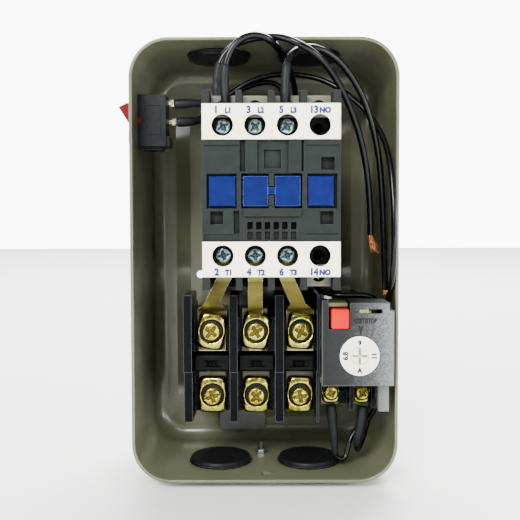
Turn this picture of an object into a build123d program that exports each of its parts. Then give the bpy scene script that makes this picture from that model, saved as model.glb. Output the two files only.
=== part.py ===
"""Direct-on-line motor starter with its cover off.

A deep-drawn steel enclosure holds a four-pole contactor, a thermal overload
relay, a rocker switch in the left wall and the wires between them.
Millimetres. +Z is up, +X is right seen from the front, and the front faces -Y.
The wall plane is y = 0 and the origin is the centre of the back face.
"""
from build123d import *
import math
import os

# --- driving dimensions: enclosure ---
CASE_WIDTH = 95.0
CASE_HEIGHT = 158.0
CASE_CORNER = 14.0
RIM_Y = -60.0
SHEET = 1.2
FLOOR_Y = -3.0            # outer face of the raised margin round the pad
PAD_WIDTH = 65.0
PAD_HEIGHT = 129.0
PAD_SLOPE = 5.7           # how much wider the pad's slope is at the margin
DRAW_RADIUS = 6.0
INNER_X = CASE_WIDTH / 2 - SHEET
INNER_Z = CASE_HEIGHT / 2 - SHEET
PAD_Y = -SHEET            # inner face of the pad, where everything is fixed

# --- knock-out grommets ---
GROMMET_X = 17.0
GROMMET_Y = -37.0
GROMMET_RADIUS = 12.0
GROMMET_HOLE_R = 10.0

# --- fixings in the case ---
WALL_HOLE_X = 27.4
WALL_HOLE_Z = -7.7
WALL_HOLE_R = 1.6
EARTH_X = -1.4
EARTH_Y = -27.0
EARTH_R = 1.2
COVER_HOLE_X = 0.6
COVER_HOLE_Y = -53.0
COVER_HOLE_R = 2.0
M4_R = 1.9
M4_HEAD_R = 3.3

# --- rocker switch ---
ROCKER_PIVOT_X = -45.9
ROCKER_Z = 51.8
ROCKER_Y = -42.5
ROCKER_TILT = 15.0        # each way from its middle position
SWITCH_LENGTH = 18.7
SWITCH_WIDTH = 11.0
SWITCH_BACK_X = -36.0

# --- contactor ---
KX = 2.2                  # centre of the contactor
KZ = 24.4
K_HALF_WIDTH = 22.5
K_FRONT_Y = -81.0         # face of the ivory terminal covers
K_BODY_Y = -80.6          # face of the dark body between them
K_SPLIT_Y = -34.0         # where the body sits on the base
POLES = (-15.8, -5.27, 5.27, 15.8)
DRIVER_HOLE_R = 3.5       # holes in the ivory covers, over the terminal screws
FINS = (-21.3, -10.6, 0.0, 10.6, 21.3)
FIN_REACH = 32.3
COIL_TERMINALS = (4.6, 11.0)

# --- thermal overload relay ---
RELAY_POLES = (-19.5, -3.1, 13.3)
RELAY_FINS = ((-29.1, -26.1), (-12.6, -9.7), (3.8, 6.9), (18.8, 19.7))
UPPER_SCREW_Z = -25.6
LOWER_SCREW_Z = -50.6
UPPER_STEP_Y = -46.4
LOWER_STEP_Y = -42.4
DIAL_X = 33.0
DIAL_Z = -32.2
DIAL_R = 6.95
HOUSING_Y = -66.0
HOUSING_BACK_Y = -51.6
AUX_POLES = (24.8, 36.4)
AUX_Z = -49.2

# --- wires ---
MAIN_WIRE_D = 2.3
CONTROL_WIRE_D = 2.0


def span(x, y, z):
    """Box between pairs of coordinates given in any order."""
    size = [abs(b - a) for a, b in (x, y, z)]
    centre = [(a + b) / 2 for a, b in (x, y, z)]
    return Pos(*centre) * Box(*size)


def rod(axis, at, start, end, radius):
    """Cylinder along one axis; `at` holds the other two coordinates in X, Y, Z order."""
    length = abs(end - start)
    middle = (start + end) / 2
    if axis == "x":
        return Pos(middle, at[0], at[1]) * Rot(0, 90, 0) * Cylinder(radius, length)
    if axis == "y":
        return Pos(at[0], middle, at[1]) * Rot(90, 0, 0) * Cylinder(radius, length)
    return Pos(at[0], at[1], middle) * Cylinder(radius, length)


def facing(y):
    """Plane parallel to the wall, seen from the front: local x is X and local y is Z."""
    return Plane((0, y, 0), x_dir=(1, 0, 0), z_dir=(0, -1, 0))


def slab(sketch, back_y, front_y):
    """Extrude a front-view sketch from back_y forward to front_y."""
    return extrude(facing(back_y) * sketch, amount=back_y - front_y)


def rounded(width, height, radius, x=0.0, z=0.0):
    return Pos(x, z) * RectangleRounded(width, height, radius)


def back_edges(shape):
    return shape.faces().sort_by(Axis.Y)[-1].edges()


def front_edges(shape):
    return shape.faces().sort_by(Axis.Y)[0].edges()


def coil_spring(radius, wire, length, turns):
    """Helical spring along +Z from the origin."""
    path = Helix(pitch=length / turns, height=length, radius=radius)
    section = Plane(path @ 0, z_dir=path % 0) * Circle(wire)
    return sweep(section, path=path)


def save(name, *solids):
    shape = solids[0] if len(solids) == 1 else Compound(children=list(solids))
    export_step(shape, f"parts/{name}.step")


# ---------------------------------------------------------------- enclosure
def enclosure_base():
    shell = slab(rounded(CASE_WIDTH, CASE_HEIGHT, CASE_CORNER), FLOOR_Y, RIM_Y)
    shell = fillet(back_edges(shell), DRAW_RADIUS)
    wide = facing(FLOOR_Y) * rounded(PAD_WIDTH + 2 * PAD_SLOPE, PAD_HEIGHT + 2 * PAD_SLOPE, 15)
    narrow = facing(0) * rounded(PAD_WIDTH, PAD_HEIGHT, 10)
    shell += loft([wide, narrow])
    hollow_floor = FLOOR_Y - SHEET
    hollow = slab(rounded(2 * INNER_X, 2 * INNER_Z, CASE_CORNER - SHEET), hollow_floor, RIM_Y - 1)
    hollow = fillet(back_edges(hollow), DRAW_RADIUS - SHEET)
    wide = facing(hollow_floor) * rounded(PAD_WIDTH + 2 * PAD_SLOPE - 2,
                                          PAD_HEIGHT + 2 * PAD_SLOPE - 2, 14)
    narrow = facing(PAD_Y) * rounded(PAD_WIDTH - 2, PAD_HEIGHT - 2, 9)
    hollow += loft([wide, narrow])
    shell -= hollow
    rim = [edge for edge in front_edges(shell)]
    shell = fillet(rim, SHEET * 0.35)
    for x in (-GROMMET_X, GROMMET_X):
        shell -= rod("z", (x, GROMMET_Y), -CASE_HEIGHT, CASE_HEIGHT, GROMMET_HOLE_R)
    for x in (-WALL_HOLE_X, WALL_HOLE_X):
        shell -= rod("y", (x, WALL_HOLE_Z), -5, 1, WALL_HOLE_R)
    shell -= rod("z", (EARTH_X, EARTH_Y), -CASE_HEIGHT, 0, EARTH_R + 0.05)
    shell -= rod("z", (COVER_HOLE_X, COVER_HOLE_Y), -CASE_HEIGHT, 0, COVER_HOLE_R)
    half = SWITCH_LENGTH / 2 + 0.1
    across = SWITCH_WIDTH / 2 + 0.1
    shell -= span((-CASE_WIDTH, -40), (ROCKER_Y - across, ROCKER_Y + across),
                  (ROCKER_Z - half, ROCKER_Z + half))
    for x, z in mounting_screw_places():
        shell -= rod("y", (x, z), -5, 1, M4_R + 0.05)
    return shell


def mounting_screw_places():
    contactor = [(KX - 17.5, KZ + 33.3), (KX + 17.5, KZ - 33.3)]
    relay = [(28.6, -27.6), (29.2, -46.0)]
    return contactor + relay


def mounting_screws():
    """Pan-head screws through the feet of the contactor and of the relay."""
    screws = []
    seats = (-9.0, -9.0, -5.6, -5.6)
    for (x, z), seat in zip(mounting_screw_places(), seats):
        screw = rod("y", (x, z), seat, seat - 2.4, M4_HEAD_R) + rod("y", (x, z), -0.3, seat, M4_R)
        screws.append(screw - cross_slot(x, z, seat - 2.4, 3.6, 1.2))
    return screws


def cross_slot(x, z, front, length, depth):
    """Cross recess cut into a screw head whose face is at y = front."""
    width = 0.9
    cut = span((x - length / 2, x + length / 2), (front - 1, front + depth),
               (z - width / 2, z + width / 2))
    return cut + span((x - width / 2, x + width / 2), (front - 1, front + depth),
                      (z - length / 2, z + length / 2))


def grommet(x, side):
    """Rubber plug in a knock-out hole; side is +1 in the top wall and -1 in the bottom wall."""
    flange = GROMMET_RADIUS
    neck = GROMMET_HOLE_R - 0.1
    # radius and height, where height 0 is the wall's inner face and + is into the case
    outline = [(0, -SHEET - 0.4), (8.0, -SHEET - 0.4), (8.4, -SHEET - 1.4), (flange - 0.8, -SHEET - 1.4),
               (flange - 0.5, -SHEET), (neck, -SHEET), (neck, 0), (flange, 0), (flange, 1.3),
               (flange - 0.9, 2.2), (8.9, 2.2), (8.2, 1.3), (5.2, 1.3), (4.8, 1.8), (0, 1.8)]
    face = Plane.XZ * make_face(Polyline(outline, close=True))
    body = revolve(face, Axis.Z)
    turn = Rot(180, 0, 0) if side > 0 else Rot(0, 0, 0)
    return Pos(x, GROMMET_Y, side * INNER_Z) * turn * body


def earth_screw():
    tip = -INNER_Z + 4.9
    outside = -CASE_HEIGHT / 2
    screw = rod("z", (EARTH_X, EARTH_Y), outside, tip, EARTH_R)
    screw = chamfer(screw.edges().sort_by(Axis.Z)[-1], 0.4)
    return screw + rod("z", (EARTH_X, EARTH_Y), outside - 1.4, outside, 2.4)


def earth_nut():
    nut = extrude(Plane((EARTH_X, EARTH_Y, -INNER_Z)) * RegularPolygon(2.3, 6), 1.5)
    return nut - rod("z", (EARTH_X, EARTH_Y), -INNER_Z - 1, -INNER_Z + 3, EARTH_R + 0.02)


def earth_label():
    """Small rounded plate stuck to the floor above the earth screw."""
    plate = slab(rounded(20.0, 8.6, 2.6, -9.3, -70.2), -4.6, -5.6)
    plate = fillet(front_edges(plate), 0.4)
    return plate + slab(rounded(16.0, 4.6, 1.5, -9.3, -68.6), -4.2, -4.6)


# ------------------------------------------------------------ rocker switch
def rocker_housing():
    half = SWITCH_LENGTH / 2
    across = SWITCH_WIDTH / 2
    near, far = ROCKER_Y - across, ROCKER_Y + across
    outside = -CASE_WIDTH / 2
    bezel_x = outside - 1.7
    body = span((outside, SWITCH_BACK_X), (near, far), (ROCKER_Z - half, ROCKER_Z + half))
    body += span((bezel_x, outside), (near - 1.5, far + 1.5),
                 (ROCKER_Z - half - 1.4, ROCKER_Z + half + 1.4))
    body += span((SWITCH_BACK_X, SWITCH_BACK_X + 1.2), (near + 1, far - 1),
                 (ROCKER_Z - half, ROCKER_Z - half + 3.6))
    body += span((-45.2, -37.5), (near + 2, far - 2), (ROCKER_Z - half - 1.3, ROCKER_Z - half))
    body -= span((bezel_x - 1, -41.0), (near + 1.2, far - 1.2),
                 (ROCKER_Z - half + 0.95, ROCKER_Z + half - 0.95))
    body -= span((-41.1, -37.2), (near + 2, far - 2), (ROCKER_Z - half + 1.8, ROCKER_Z + half - 1.8))
    body -= rod("y", (ROCKER_PIVOT_X, ROCKER_Z), near - 1, far + 1, 1.0)
    frame_outer = rounded(5.8, 11.0, 0.4, -40.5, ROCKER_Z)
    frame_inner = rounded(5.0, 10.2, 0.3, -40.5, ROCKER_Z)
    body -= slab(frame_outer, near + 0.25, near - 0.1) - slab(frame_inner, near + 1, near - 1)
    for z in (ROCKER_Z + 6.9, ROCKER_Z):
        body -= span((-38.8, -34), (ROCKER_Y - 0.45, ROCKER_Y + 0.45), (z - 1.45, z + 1.45))
    return body


def rocker_button():
    """Rocker drawn in its middle position, then tipped with its upper end out."""
    ends = [(4.0, 0.0), (6.1, 6.9), (2.6, 7.6), (-1.5, 4.5), (-3.0, 1.2),
            (-3.0, -1.2), (-1.5, -4.5), (2.6, -7.6), (6.1, -6.9)]
    profile = make_face(Polyline([(-out, up) for out, up in ends], close=True))
    button = slab(profile, 4.0, -4.0)
    button += rod("y", (0, 0), -SWITCH_WIDTH / 2, SWITCH_WIDTH / 2, 0.95)
    return Pos(ROCKER_PIVOT_X, ROCKER_Y, ROCKER_Z) * Rot(0, -ROCKER_TILT, 0) * button


def rocker_terminals():
    """Two brass blades, each with a crimp that grips its wire; the lower one carries the see-saw contact."""
    blades = []
    for z, inner_x, grip_x in ((ROCKER_Z + 6.9, -38.6, -34.9), (ROCKER_Z, -40.0, -34.0)):
        blade = span((inner_x, grip_x), (ROCKER_Y - 0.4, ROCKER_Y + 0.4), (z - 0.8, z + 0.8))
        blade += span((grip_x - 0.1, grip_x + 1.4), (ROCKER_Y - 1.0, ROCKER_Y + 1.0), (z - 1.25, z + 1.25))
        blades.append(blade)
    return blades


# ---------------------------------------------------------------- contactor
def at_contactor(x, z):
    """Pair given from the contactor's centre, as a pair in the part's frame."""
    return KX + x, KZ + z


def kspan(x, y, z):
    """Box with X and Z measured from the contactor's centre."""
    return span((KX + x[0], KX + x[1]), y, (KZ + z[0], KZ + z[1]))


def contactor_base():
    half = K_HALF_WIDTH
    base = kspan((-half, half), (PAD_Y, K_SPLIT_Y), (-29.5, 29.5))
    base += kspan((-half, half), (PAD_Y, -9.0), (-37.0, 37.0))
    base -= kspan((-half + 2, half - 2), (-3.2, K_SPLIT_Y - 1), (-27.0, 27.0))
    for x, z in mounting_screw_places()[:2]:
        base -= rod("y", (x, z), 0, -10, M4_R + 0.1)
    for x in COIL_TERMINALS:
        base -= kspan((x - 3.2, x + 3.2), (-31.4, -30.2), (26.0, 30.0))
    for side in (-1, 1):
        for z in (-18, -9, 0, 9, 18):
            x = side * half
            base -= kspan((x - 0.6, x + 0.6), (-12, -30), (z - 1.0, z + 1.0))
    return base


def e_core(back_y, web_y, tip_y):
    """E-shaped laminated core with its web between back_y and web_y."""
    core = kspan((-18, 18), (back_y, web_y), (-7, 7))
    for x in ((-18, -11), (-6, 6), (11, 18)):
        core += kspan(x, (web_y, tip_y), (-7, 7))
    return core


def coil_bobbin():
    tube = kspan((-7.1, 7.1), (-10.3, -28.0), (-8.1, 8.1))
    tube += kspan((-10.7, 10.7), (-10.3, -11.3), (-13, 13))
    tube += kspan((-10.7, 10.7), (-27.0, -28.0), (-13, 13))
    return tube - kspan((-6.3, 6.3), (-9, -30), (-7.3, 7.3))


def coil_winding():
    winding = kspan((-10.2, 10.2), (-11.3, -27.0), (-12.4, 12.4))
    upright = winding.edges().filter_by(Axis.Y)
    winding = fillet(upright, 2.4)
    return winding - kspan((-7.1, 7.1), (-10, -29), (-8.1, 8.1))


def return_spring():
    spring = coil_spring(9.6, 0.3, 6.8, 3)
    return Pos(KX, -28.6, KZ) * Rot(90, 0, 0) * spring


def coil_terminals():
    straps = []
    for x in COIL_TERMINALS:
        strap = kspan((x - 3, x + 3), (-31.2, -30.4), (14.0, 36.0))
        strap += kspan((x - 2.6, x + 2.6), (-30.4, -27.6), (31.2, 36.0))
        straps.append(strap - rod("y", at_contactor(x, 33.6), -40, -20, 1.55))
    return straps


def coil_terminal_screws():
    screws = []
    for pole in COIL_TERMINALS:
        x, z = at_contactor(pole, 33.6)
        screw = rod("y", (x, z), -31.3, -33.4, 2.3) + rod("y", (x, z), -27.0, -31.3, 1.5)
        screws.append(screw - cross_slot(x, z, -33.4, 3.0, 1.0))
    return screws


def armature_space():
    """Room inside the body for the armature, its holder and the stem of the carrier."""
    room = kspan((-20.0, 20.0), (K_SPLIT_Y + 1, -46.6), (-12.0, 12.0))
    room += kspan((-8.3, 8.3), (-46.0, -66.0), (-3.7, 3.7))
    return room + kspan((-20.9, 20.9), (-65.0, -77.6), (-3.7, 3.7))


def pole_cuts(x):
    """Contact chamber and the two open terminal wells of one pole."""
    cuts = kspan((x - 4.2, x + 4.2), (-66.2, -77.6), (-15.2, 15.2))
    for side in (-1, 1):
        cuts += kspan((x - 4.2, x + 4.2), (-66.2, -72.7), (side * 15.0, side * 16.4))
        cuts += kspan((x - 4.2, x + 4.2), (-71.6, -82.0), (side * 16.4, side * 33.0))
        cuts += rod("y", at_contactor(x, side * 21.1), -82, -62.5, 1.75)
    return cuts


def front_relief():
    """Everything cut into the dark face between the two ivory covers."""
    face = K_BODY_Y
    cuts = kspan((-21.1, -11.2), (face - 1, -78.9), (-5.8, 5.6))
    cuts += kspan((11.6, 21.5), (face - 1, -78.9), (-5.8, 5.6))
    cuts += kspan((-9.8, -0.8), (face - 1, -77.0), (-5.8, 5.6))
    cuts += kspan((0.9, 10.1), (face - 1, -77.0), (-5.8, 5.6))
    cuts += kspan((-1.0, 1.0), (face - 1, -77.0), (-1.5, 1.5))
    cuts += kspan((-4.6, 5.7), (face - 1, face + 0.9), (5.6, 16.3))
    cuts += kspan((-2.5, 3.3), (face - 1, face + 1.9), (7.2, 13.4))
    for x in ((-10.3, -8.4), (9.7, 10.6)):
        cuts += kspan(x, (face - 1, face + 1.3), (6.2, 16.4))
    cuts += kspan((-22.0, -10.4), (face - 1, face + 0.35), (14.2, 14.9))
    cuts += kspan((11.0, 22.0), (face - 1, face + 0.35), (14.2, 14.9))
    cuts += kspan((16.1, 20.5), (face - 1, face + 2.4), (6.7, 10.9))
    cuts += kspan((15.8, 20.2), (face - 1, face + 2.4), (-10.9, -6.6))
    cuts += kspan((-19.9, -15.7), (face - 1, face + 2.4), (-10.9, -6.6))
    cuts += kspan((-12.3, -10.3), (face - 1, face + 1.3), (-14.0, -6.4))
    cuts += kspan((-22.0, -10.4), (face - 1, face + 0.5), (-16.4, -14.0))
    cuts += kspan((11.0, 22.0), (face - 1, face + 0.35), (-14.4, -13.8))
    for slot in range(6):
        x = -7.9 + 2.84 * slot
        cuts += kspan((x, x + 1.9), (face - 1, face + 2.6), (-12.6, -10.1))
        cuts += kspan((x, x + 1.9), (face - 1, face + 0.9), (-16.0, -13.2))
    return cuts


def contactor_body():
    half = K_HALF_WIDTH
    body = kspan((-half, half), (K_SPLIT_Y, -79.9), (-28.0, 28.0))
    body += kspan((-half, half), (-79.9, K_BODY_Y), (-16.45, 16.45))
    for x in FINS:
        thick = 1.2 if abs(x) > 20 else 1.05
        for side in (-1, 1):
            body += kspan((x - thick, x + thick), (-37.0, -79.9), (side * 27.5, side * FIN_REACH))
            body += kspan((x - thick, x + thick), (-79.9, K_FRONT_Y), (side * 28.15, side * FIN_REACH))
    body += kspan((-8.9, 9.6), (K_BODY_Y, K_BODY_Y - 0.8), (-8.3, -5.1))
    for x in POLES:
        body -= pole_cuts(x)
    body -= armature_space()
    body -= front_relief()
    for x in COIL_TERMINALS:
        body -= kspan((x - 3.4, x + 3.4), (K_SPLIT_Y + 1, -36.0), (12.0, 40.0))
    return body


def terminal_cover(side):
    """Ivory cover over one row of terminals; side is +1 at the top and -1 at the bottom."""
    half = K_HALF_WIDTH
    cover = kspan((-half, half), (-80.0, K_FRONT_Y), (side * 16.55, side * 28.05))
    for x in POLES:
        link_bar_passes = side < 0 and x < 15
        if not link_bar_passes:
            step = kspan((x - 4.1, x + 4.1), (-74.4, -72.0), (side * 24.4, side * 31.6))
            step -= rod("y", at_contactor(x, side * 27.6), -80, -65, 2.5)
            web = kspan((x - 4.1, x - 3.3), (-80.0, -74.4), (side * 24.4, side * 28.0))
            web += kspan((x + 3.3, x + 4.1), (-80.0, -74.4), (side * 24.4, side * 28.0))
            cover += step + web
        cover -= rod("y", at_contactor(x, side * 21.15), -85, -79, DRIVER_HOLE_R)
    for x in (-half, half):
        cover = chamfer_vertical(cover, KX + x)
    return cover


def chamfer_vertical(cover, x):
    """Break the front corner of a cover along the edge at one end."""
    ends = cover.edges().filter_by(Axis.Z).filter_by(lambda e: abs(e.center().X - x) < 0.01)
    front = [e for e in ends if e.center().Y < K_FRONT_Y + 0.1]
    return chamfer(front, 0.4) if front else cover


def main_terminal_screws():
    """Captive screws with square washers in the three main poles of each row."""
    screws = []
    for pole in POLES[:3]:
        for side in (-1, 1):
            x, z = at_contactor(pole, side * 21.15)
            screw = rod("y", (x, z), -74.6, -76.8, 2.6) + rod("y", (x, z), -64.0, -74.6, 1.6)
            screw += span((x - 3.6, x + 3.6), (-73.9, -74.7), (z - 2.5, z + 2.7))
            screws.append(screw - cross_slot(x, z, -76.8, 3.4, 1.3))
    return screws


def fixed_contacts():
    """Stepped copper plates, one each side of every pole; the pole without screws has short ones."""
    plates = []
    for pole in POLES:
        reach = 17.4 if pole == POLES[3] else 23.6
        for side in (-1, 1):
            z = [side * value for value in (5.5, 15.3, 16.2, reach)]
            plate = kspan((pole - 3, pole + 3), (-66.3, -67.2), (z[0], z[2]))
            plate += kspan((pole - 3, pole + 3), (-66.3, -72.6), (z[1], z[2]))
            plate += kspan((pole - 3, pole + 3), (-71.7, -72.6), (z[1], z[3]))
            plates.append(plate - rod("y", at_contactor(pole, side * 21.15), -80, -60, 1.7))
    return plates


def contact_carrier():
    """Blue carrier: two indicator blocks in front, four windows for contact bars, a long stem."""
    carrier = kspan((-20.0, 20.0), (-71.4, -77.2), (-3.2, 3.2))
    for pole in POLES:
        carrier -= kspan((pole - 2.8, pole + 2.8), (-72.7, -76.2), (-4.0, 4.0))
    carrier += kspan((-7.6, 7.6), (-45.0, -71.4), (-3.1, 3.1))
    carrier += kspan((-17.5, 17.5), (-42.2, -45.2), (-6.8, 6.8))
    carrier += kspan((-9.2, -1.1), (-77.2, -80.4), (-3.1, 3.1)) + kspan((1.3, 9.4), (-77.2, -80.4), (-3.1, 3.1))
    carrier += kspan((-9.2, -1.1), (-77.8, -80.4), (-5.0, 4.7)) + kspan((1.3, 9.4), (-77.8, -80.4), (-5.0, 4.7))
    return carrier + kspan((-1.2, 1.4), (-78.0, -80.0), (-1.1, 1.1))


def moving_contacts():
    bars = []
    for pole in POLES:
        bar = kspan((pole - 2.5, pole + 2.5), (-72.9, -73.8), (-11.5, 11.5))
        for side in (-1, 1):
            bar += rod("y", at_contactor(pole, side * 9.5), -72.75, -73.0, 1.8)
        bars.append(bar)
    return bars


def contact_springs():
    springs = []
    for pole in POLES:
        spring = coil_spring(1.5, 0.2, 1.9, 3)
        springs.append(Pos(KX + pole, -74.02, KZ) * Rot(90, 0, 0) * spring)
    return springs


def dust_cap(x_low, x_high):
    """Blue cap that closes an accessory opening in the face."""
    cap = kspan((x_low, x_high), (-79.0, -80.4), (-5.0, 4.7))
    return fillet(front_edges(cap), 0.35)


# --------------------------------------------------------- overload relay
def relay_base():
    base = span((-29.1, 19.7), (PAD_Y, -36.0), (-21.0, -57.0))
    base += span((-26.2, 18.9), (-36.0, UPPER_STEP_Y), (-21.0, -33.6))
    base += span((-26.2, 18.9), (-36.0, -44.0), (-33.6, -41.5))
    base += span((-26.2, 18.9), (-36.0, LOWER_STEP_Y), (-41.5, -57.0))
    for low, high in RELAY_FINS:
        base += span((low, high), (-36.0, -58.0), (-11.7, -39.5))
        base += span((low, high), (-36.0, -55.5), (-39.5, -58.0))
        base += span((low, high), (-30.0, -36.0), (-16.0, -21.5))
    base += span((19.7, 30.8), (PAD_Y, -4.3), (-14.2, -54.5))
    base += span((19.7, 38.5), (-4.3, HOUSING_BACK_Y + 0.1), (-14.2, -42.2))
    base += span((19.7, 41.0), (-4.3, LOWER_STEP_Y), (-42.2, -54.5))
    base += span((31.2, 32.7), (LOWER_STEP_Y, -52.0), (-43.2, -54.5))
    base += span((39.6, 41.0), (LOWER_STEP_Y, -49.0), (-43.2, -54.5))
    for x in RELAY_POLES:
        base -= span((x - 6.0, x + 5.5), (0, -33.0), (-24.0, -54.0))
        base -= span((x - 2.5, x + 4.5), (-32.0, -38.0), (-40.2, -34.8))
        base -= rod("y", (x, UPPER_SCREW_Z), -36.5, -60, 2.0)
        base -= rod("y", (x, LOWER_SCREW_Z), -35.0, -60, 2.0)
    base -= span((-27.4, 31.5), (-37.9, -44.2), (-39.4, -35.6))
    base -= span((26.4, 31.5), (-44.0, -52.0), (-39.4, -35.6))
    base -= rod("y", (DIAL_X, DIAL_Z), -47.0, -60.0, 2.25)
    base -= rod("y", (26.1, -19.2), -47.0, -60.0, 1.8)
    for (x, z), mouth in zip(mounting_screw_places()[2:], (-60.0, LOWER_STEP_Y)):
        base -= rod("y", (x, z), 0, -10, M4_R + 0.1)
        base -= rod("y", (x, z), -5.6, mouth, M4_HEAD_R + 0.3)
    for x in AUX_POLES:
        base -= rod("y", (x, AUX_Z), -35.0, -60.0, 1.6)
    return base


def heater_covers():
    covers = []
    for low, high in ((-26.0, -12.7), (-9.6, 3.7), (7.0, 18.4)):
        cover = span((low, high), (-44.1, -50.0), (-34.4, -40.6))
        cover = chamfer(front_edges(cover), 0.5)
        middle = (low + high) / 2
        cover -= span((middle - 3.6, middle + 3.6), (-49.4, -51.0), (-38.9, -36.6))
        covers.append(cover)
    return covers


def terminal_plates():
    plates = []
    for x in RELAY_POLES:
        upper = span((x - 5.3, x + 4.3), (UPPER_STEP_Y, -47.6), (-17.4, -33.4))
        lower = span((x - 5.2, x + 5.0), (LOWER_STEP_Y, -43.6), (-41.8, -56.8))
        plates.append(upper - rod("y", (x, UPPER_SCREW_Z), -60, -40, 2.05))
        plates.append(lower - rod("y", (x, LOWER_SCREW_Z), -60, -40, 2.05))
    return plates


def aux_plates():
    plates = []
    for x in AUX_POLES:
        plate = span((x - 3.7, x + 3.0), (LOWER_STEP_Y, -43.4), (-43.4, -54.3))
        plates.append(plate - rod("y", (x, AUX_Z), -60, -40, 1.65))
    return plates


def saddle(x, z, back, width, height, turn, hole, hole_z=0.0):
    """Cupped clamp plate with its two long edges turned back towards the terminal."""
    plate = slab(rounded(width, height, 1.9), 0.0, -2.2)
    plate -= rod("x", (1.0, 0), -width, width, 2.6) & span((-width, width), (0.1, -1.1), (-3, 3))
    plate -= rod("y", (0, hole_z), -2.3, -1.5, 4.3)
    plate -= rod("y", (0, hole_z), -5, 5, hole)
    return Pos(x, back, z) * Rot(0, turn, 0) * plate


def saddle_clamps():
    clamps = []
    for x, width, turn in zip(RELAY_POLES, (10.4, 10.4, 10.0), (9.0, 8.0, 6.0)):
        clamps.append(saddle(x, UPPER_SCREW_Z, -48.9, width, 13.2, turn, 2.15))
    for x, width, turn in zip(RELAY_POLES, (10.6, 10.2, 10.0), (0.0, 2.0, 2.0)):
        clamps.append(saddle(x, LOWER_SCREW_Z + 0.3, -43.7, width, 13.6, turn, 2.15, -0.3))
    return clamps


def saddle_screws():
    screws = []
    for z, head, tip in ((UPPER_SCREW_Z, -50.5, -37.5), (LOWER_SCREW_Z, -45.3, -35.5)):
        for x in RELAY_POLES:
            screw = rod("y", (x, z), head, head - 2.6, M4_HEAD_R) + rod("y", (x, z), tip, head, M4_R)
            screws.append(screw - cross_slot(x, z, head - 2.6, 4.4, 1.3))
    return screws


def aux_clamps():
    return [saddle(x, AUX_Z, -44.0, 6.2, 8.6, 0.0, 1.65) for x in AUX_POLES]


def aux_terminal_screws():
    screws = []
    for x in AUX_POLES:
        screw = rod("y", (x, AUX_Z), -46.3, -48.4, 2.5) + rod("y", (x, AUX_Z), -36, -46.3, 1.5)
        screws.append(screw - cross_slot(x, AUX_Z, -48.4, 3.4, 1.0))
    return screws


def link_bar(top_x, neck, flare, foot_x):
    """Flat brass bar from a contactor terminal, bent back and down to a relay terminal.

    neck and flare are (left, right, z) in the front view; foot_x is the relay pole.
    """
    thick = 1.2
    run = [(-73.2, KZ - 17.0), (-73.2, -5.0), (-48.2, -17.8), (-48.2, -33.0)]
    side = Plane((0, 0, 0), x_dir=(0, 1, 0), z_dir=(1, 0, 0))
    centre = FilletPolyline(*run, radius=2.0)
    strip = extrude(side * trace(centre, thick), amount=60, both=True)
    left = [(top_x - 2.5, KZ - 17.0), (top_x - 2.5, -4.5), (neck[0], neck[2]), (flare[0], flare[2]),
            (flare[0] + 0.4, -33.0)]
    right = [(flare[1] - 0.4, -33.0), (flare[1], flare[2]), (neck[1], neck[2]), (top_x + 2.5, -4.5),
             (top_x + 2.5, KZ - 17.0)]
    outline = slab(make_face(Polyline(left + right, close=True)), -40.0, -80.0)
    bar = strip & outline
    bar -= rod("y", (foot_x, UPPER_SCREW_Z), -60, -40, 2.05)
    return bar - rod("y", (top_x, KZ - 21.15), -80, -65, 1.7)


def bimetal_strips():
    strips = []
    for x in RELAY_POLES:
        strip = span((x - 0.4, x + 0.4), (-8.0, -37.4), (-40.0, -35.0))
        strips.append(strip + span((x - 4.0, x + 0.4), (-6.0, -8.0), (-42.0, -33.0)))
    return strips


def trip_bar():
    """Sliding bar that any bending bimetal pushes to the right."""
    bar = span((-24.5, 29.2), (-38.2, -40.8), (-39.1, -35.9))
    for x in RELAY_POLES:
        bar += span((x + 0.9, x + 2.1), (-34.5, -38.2), (-39.1, -35.9))
    return bar + span((27.6, 29.2), (-40.8, -55.6), (-39.1, -35.9))


def trip_indicator():
    tab = span((32.8, 36.1), (-63.2, -65.7), (-16.05, -17.25))
    return tab + span((31.9, 37.2), (-62.6, -64.2), (-16.6, -19.3))


def relay_housing():
    left, right, top, bottom = 19.8, 45.0, -13.6, -42.8
    box = span((left, right), (HOUSING_BACK_Y, HOUSING_Y), (bottom, top))
    box += span((left, 22.1), (-60.0, HOUSING_Y), (top, -12.6))
    box += span((40.3, 44.0), (-57.0, -61.0), (bottom, -52.9))
    box = chamfer(front_edges(box), 0.25)
    box -= span((left + 1.2, right - 1.3), (HOUSING_BACK_Y + 1, -64.4), (bottom + 1.3, top - 1.3))
    box -= span((43.4, right + 1), (HOUSING_BACK_Y + 1, HOUSING_Y - 1), (top + 1, -16.4))
    box += span((42.3, 43.4), (HOUSING_BACK_Y, -64.4), (top - 1.3, -16.4))
    box += span((42.3, right - 0.1), (HOUSING_BACK_Y, -64.4), (-16.4, -17.5))
    box -= span((22.1, 29.6), (-52.5, HOUSING_Y - 1), (top + 2, -22.95))
    box -= span((32.6, 40.8), (-60.0, HOUSING_Y - 1), (-17.4, -15.9))
    box -= rod("y", (DIAL_X, DIAL_Z), -62.0, HOUSING_Y - 1, DIAL_R + 0.15)
    box -= span((left - 1, left + 2), (HOUSING_BACK_Y + 1, -58.2), (-43, -11))
    return box


def reset_button():
    button = span((23.0, 29.2), (-60.0, -67.4), (-15.7, -22.65))
    button = fillet(front_edges(button) + button.edges().filter_by(Axis.Y), 0.7)
    return button + rod("y", (26.1, -19.2), -60.0, -52.4, 1.4)


def reset_spring():
    spring = coil_spring(2.2, 0.25, 7.6, 6)
    return Pos(26.1, -51.9, -19.2) * Rot(90, 0, 0) * spring


def latch_lever():
    """Ivory lever between the reset button and the trip latch."""
    lever = span((22.4, 29.2), (-53.0, -62.6), (-14.0, -15.3))
    return lever + span((22.4, 23.6), (-51.6, -56.4), (-15.3, -22.0))


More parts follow.
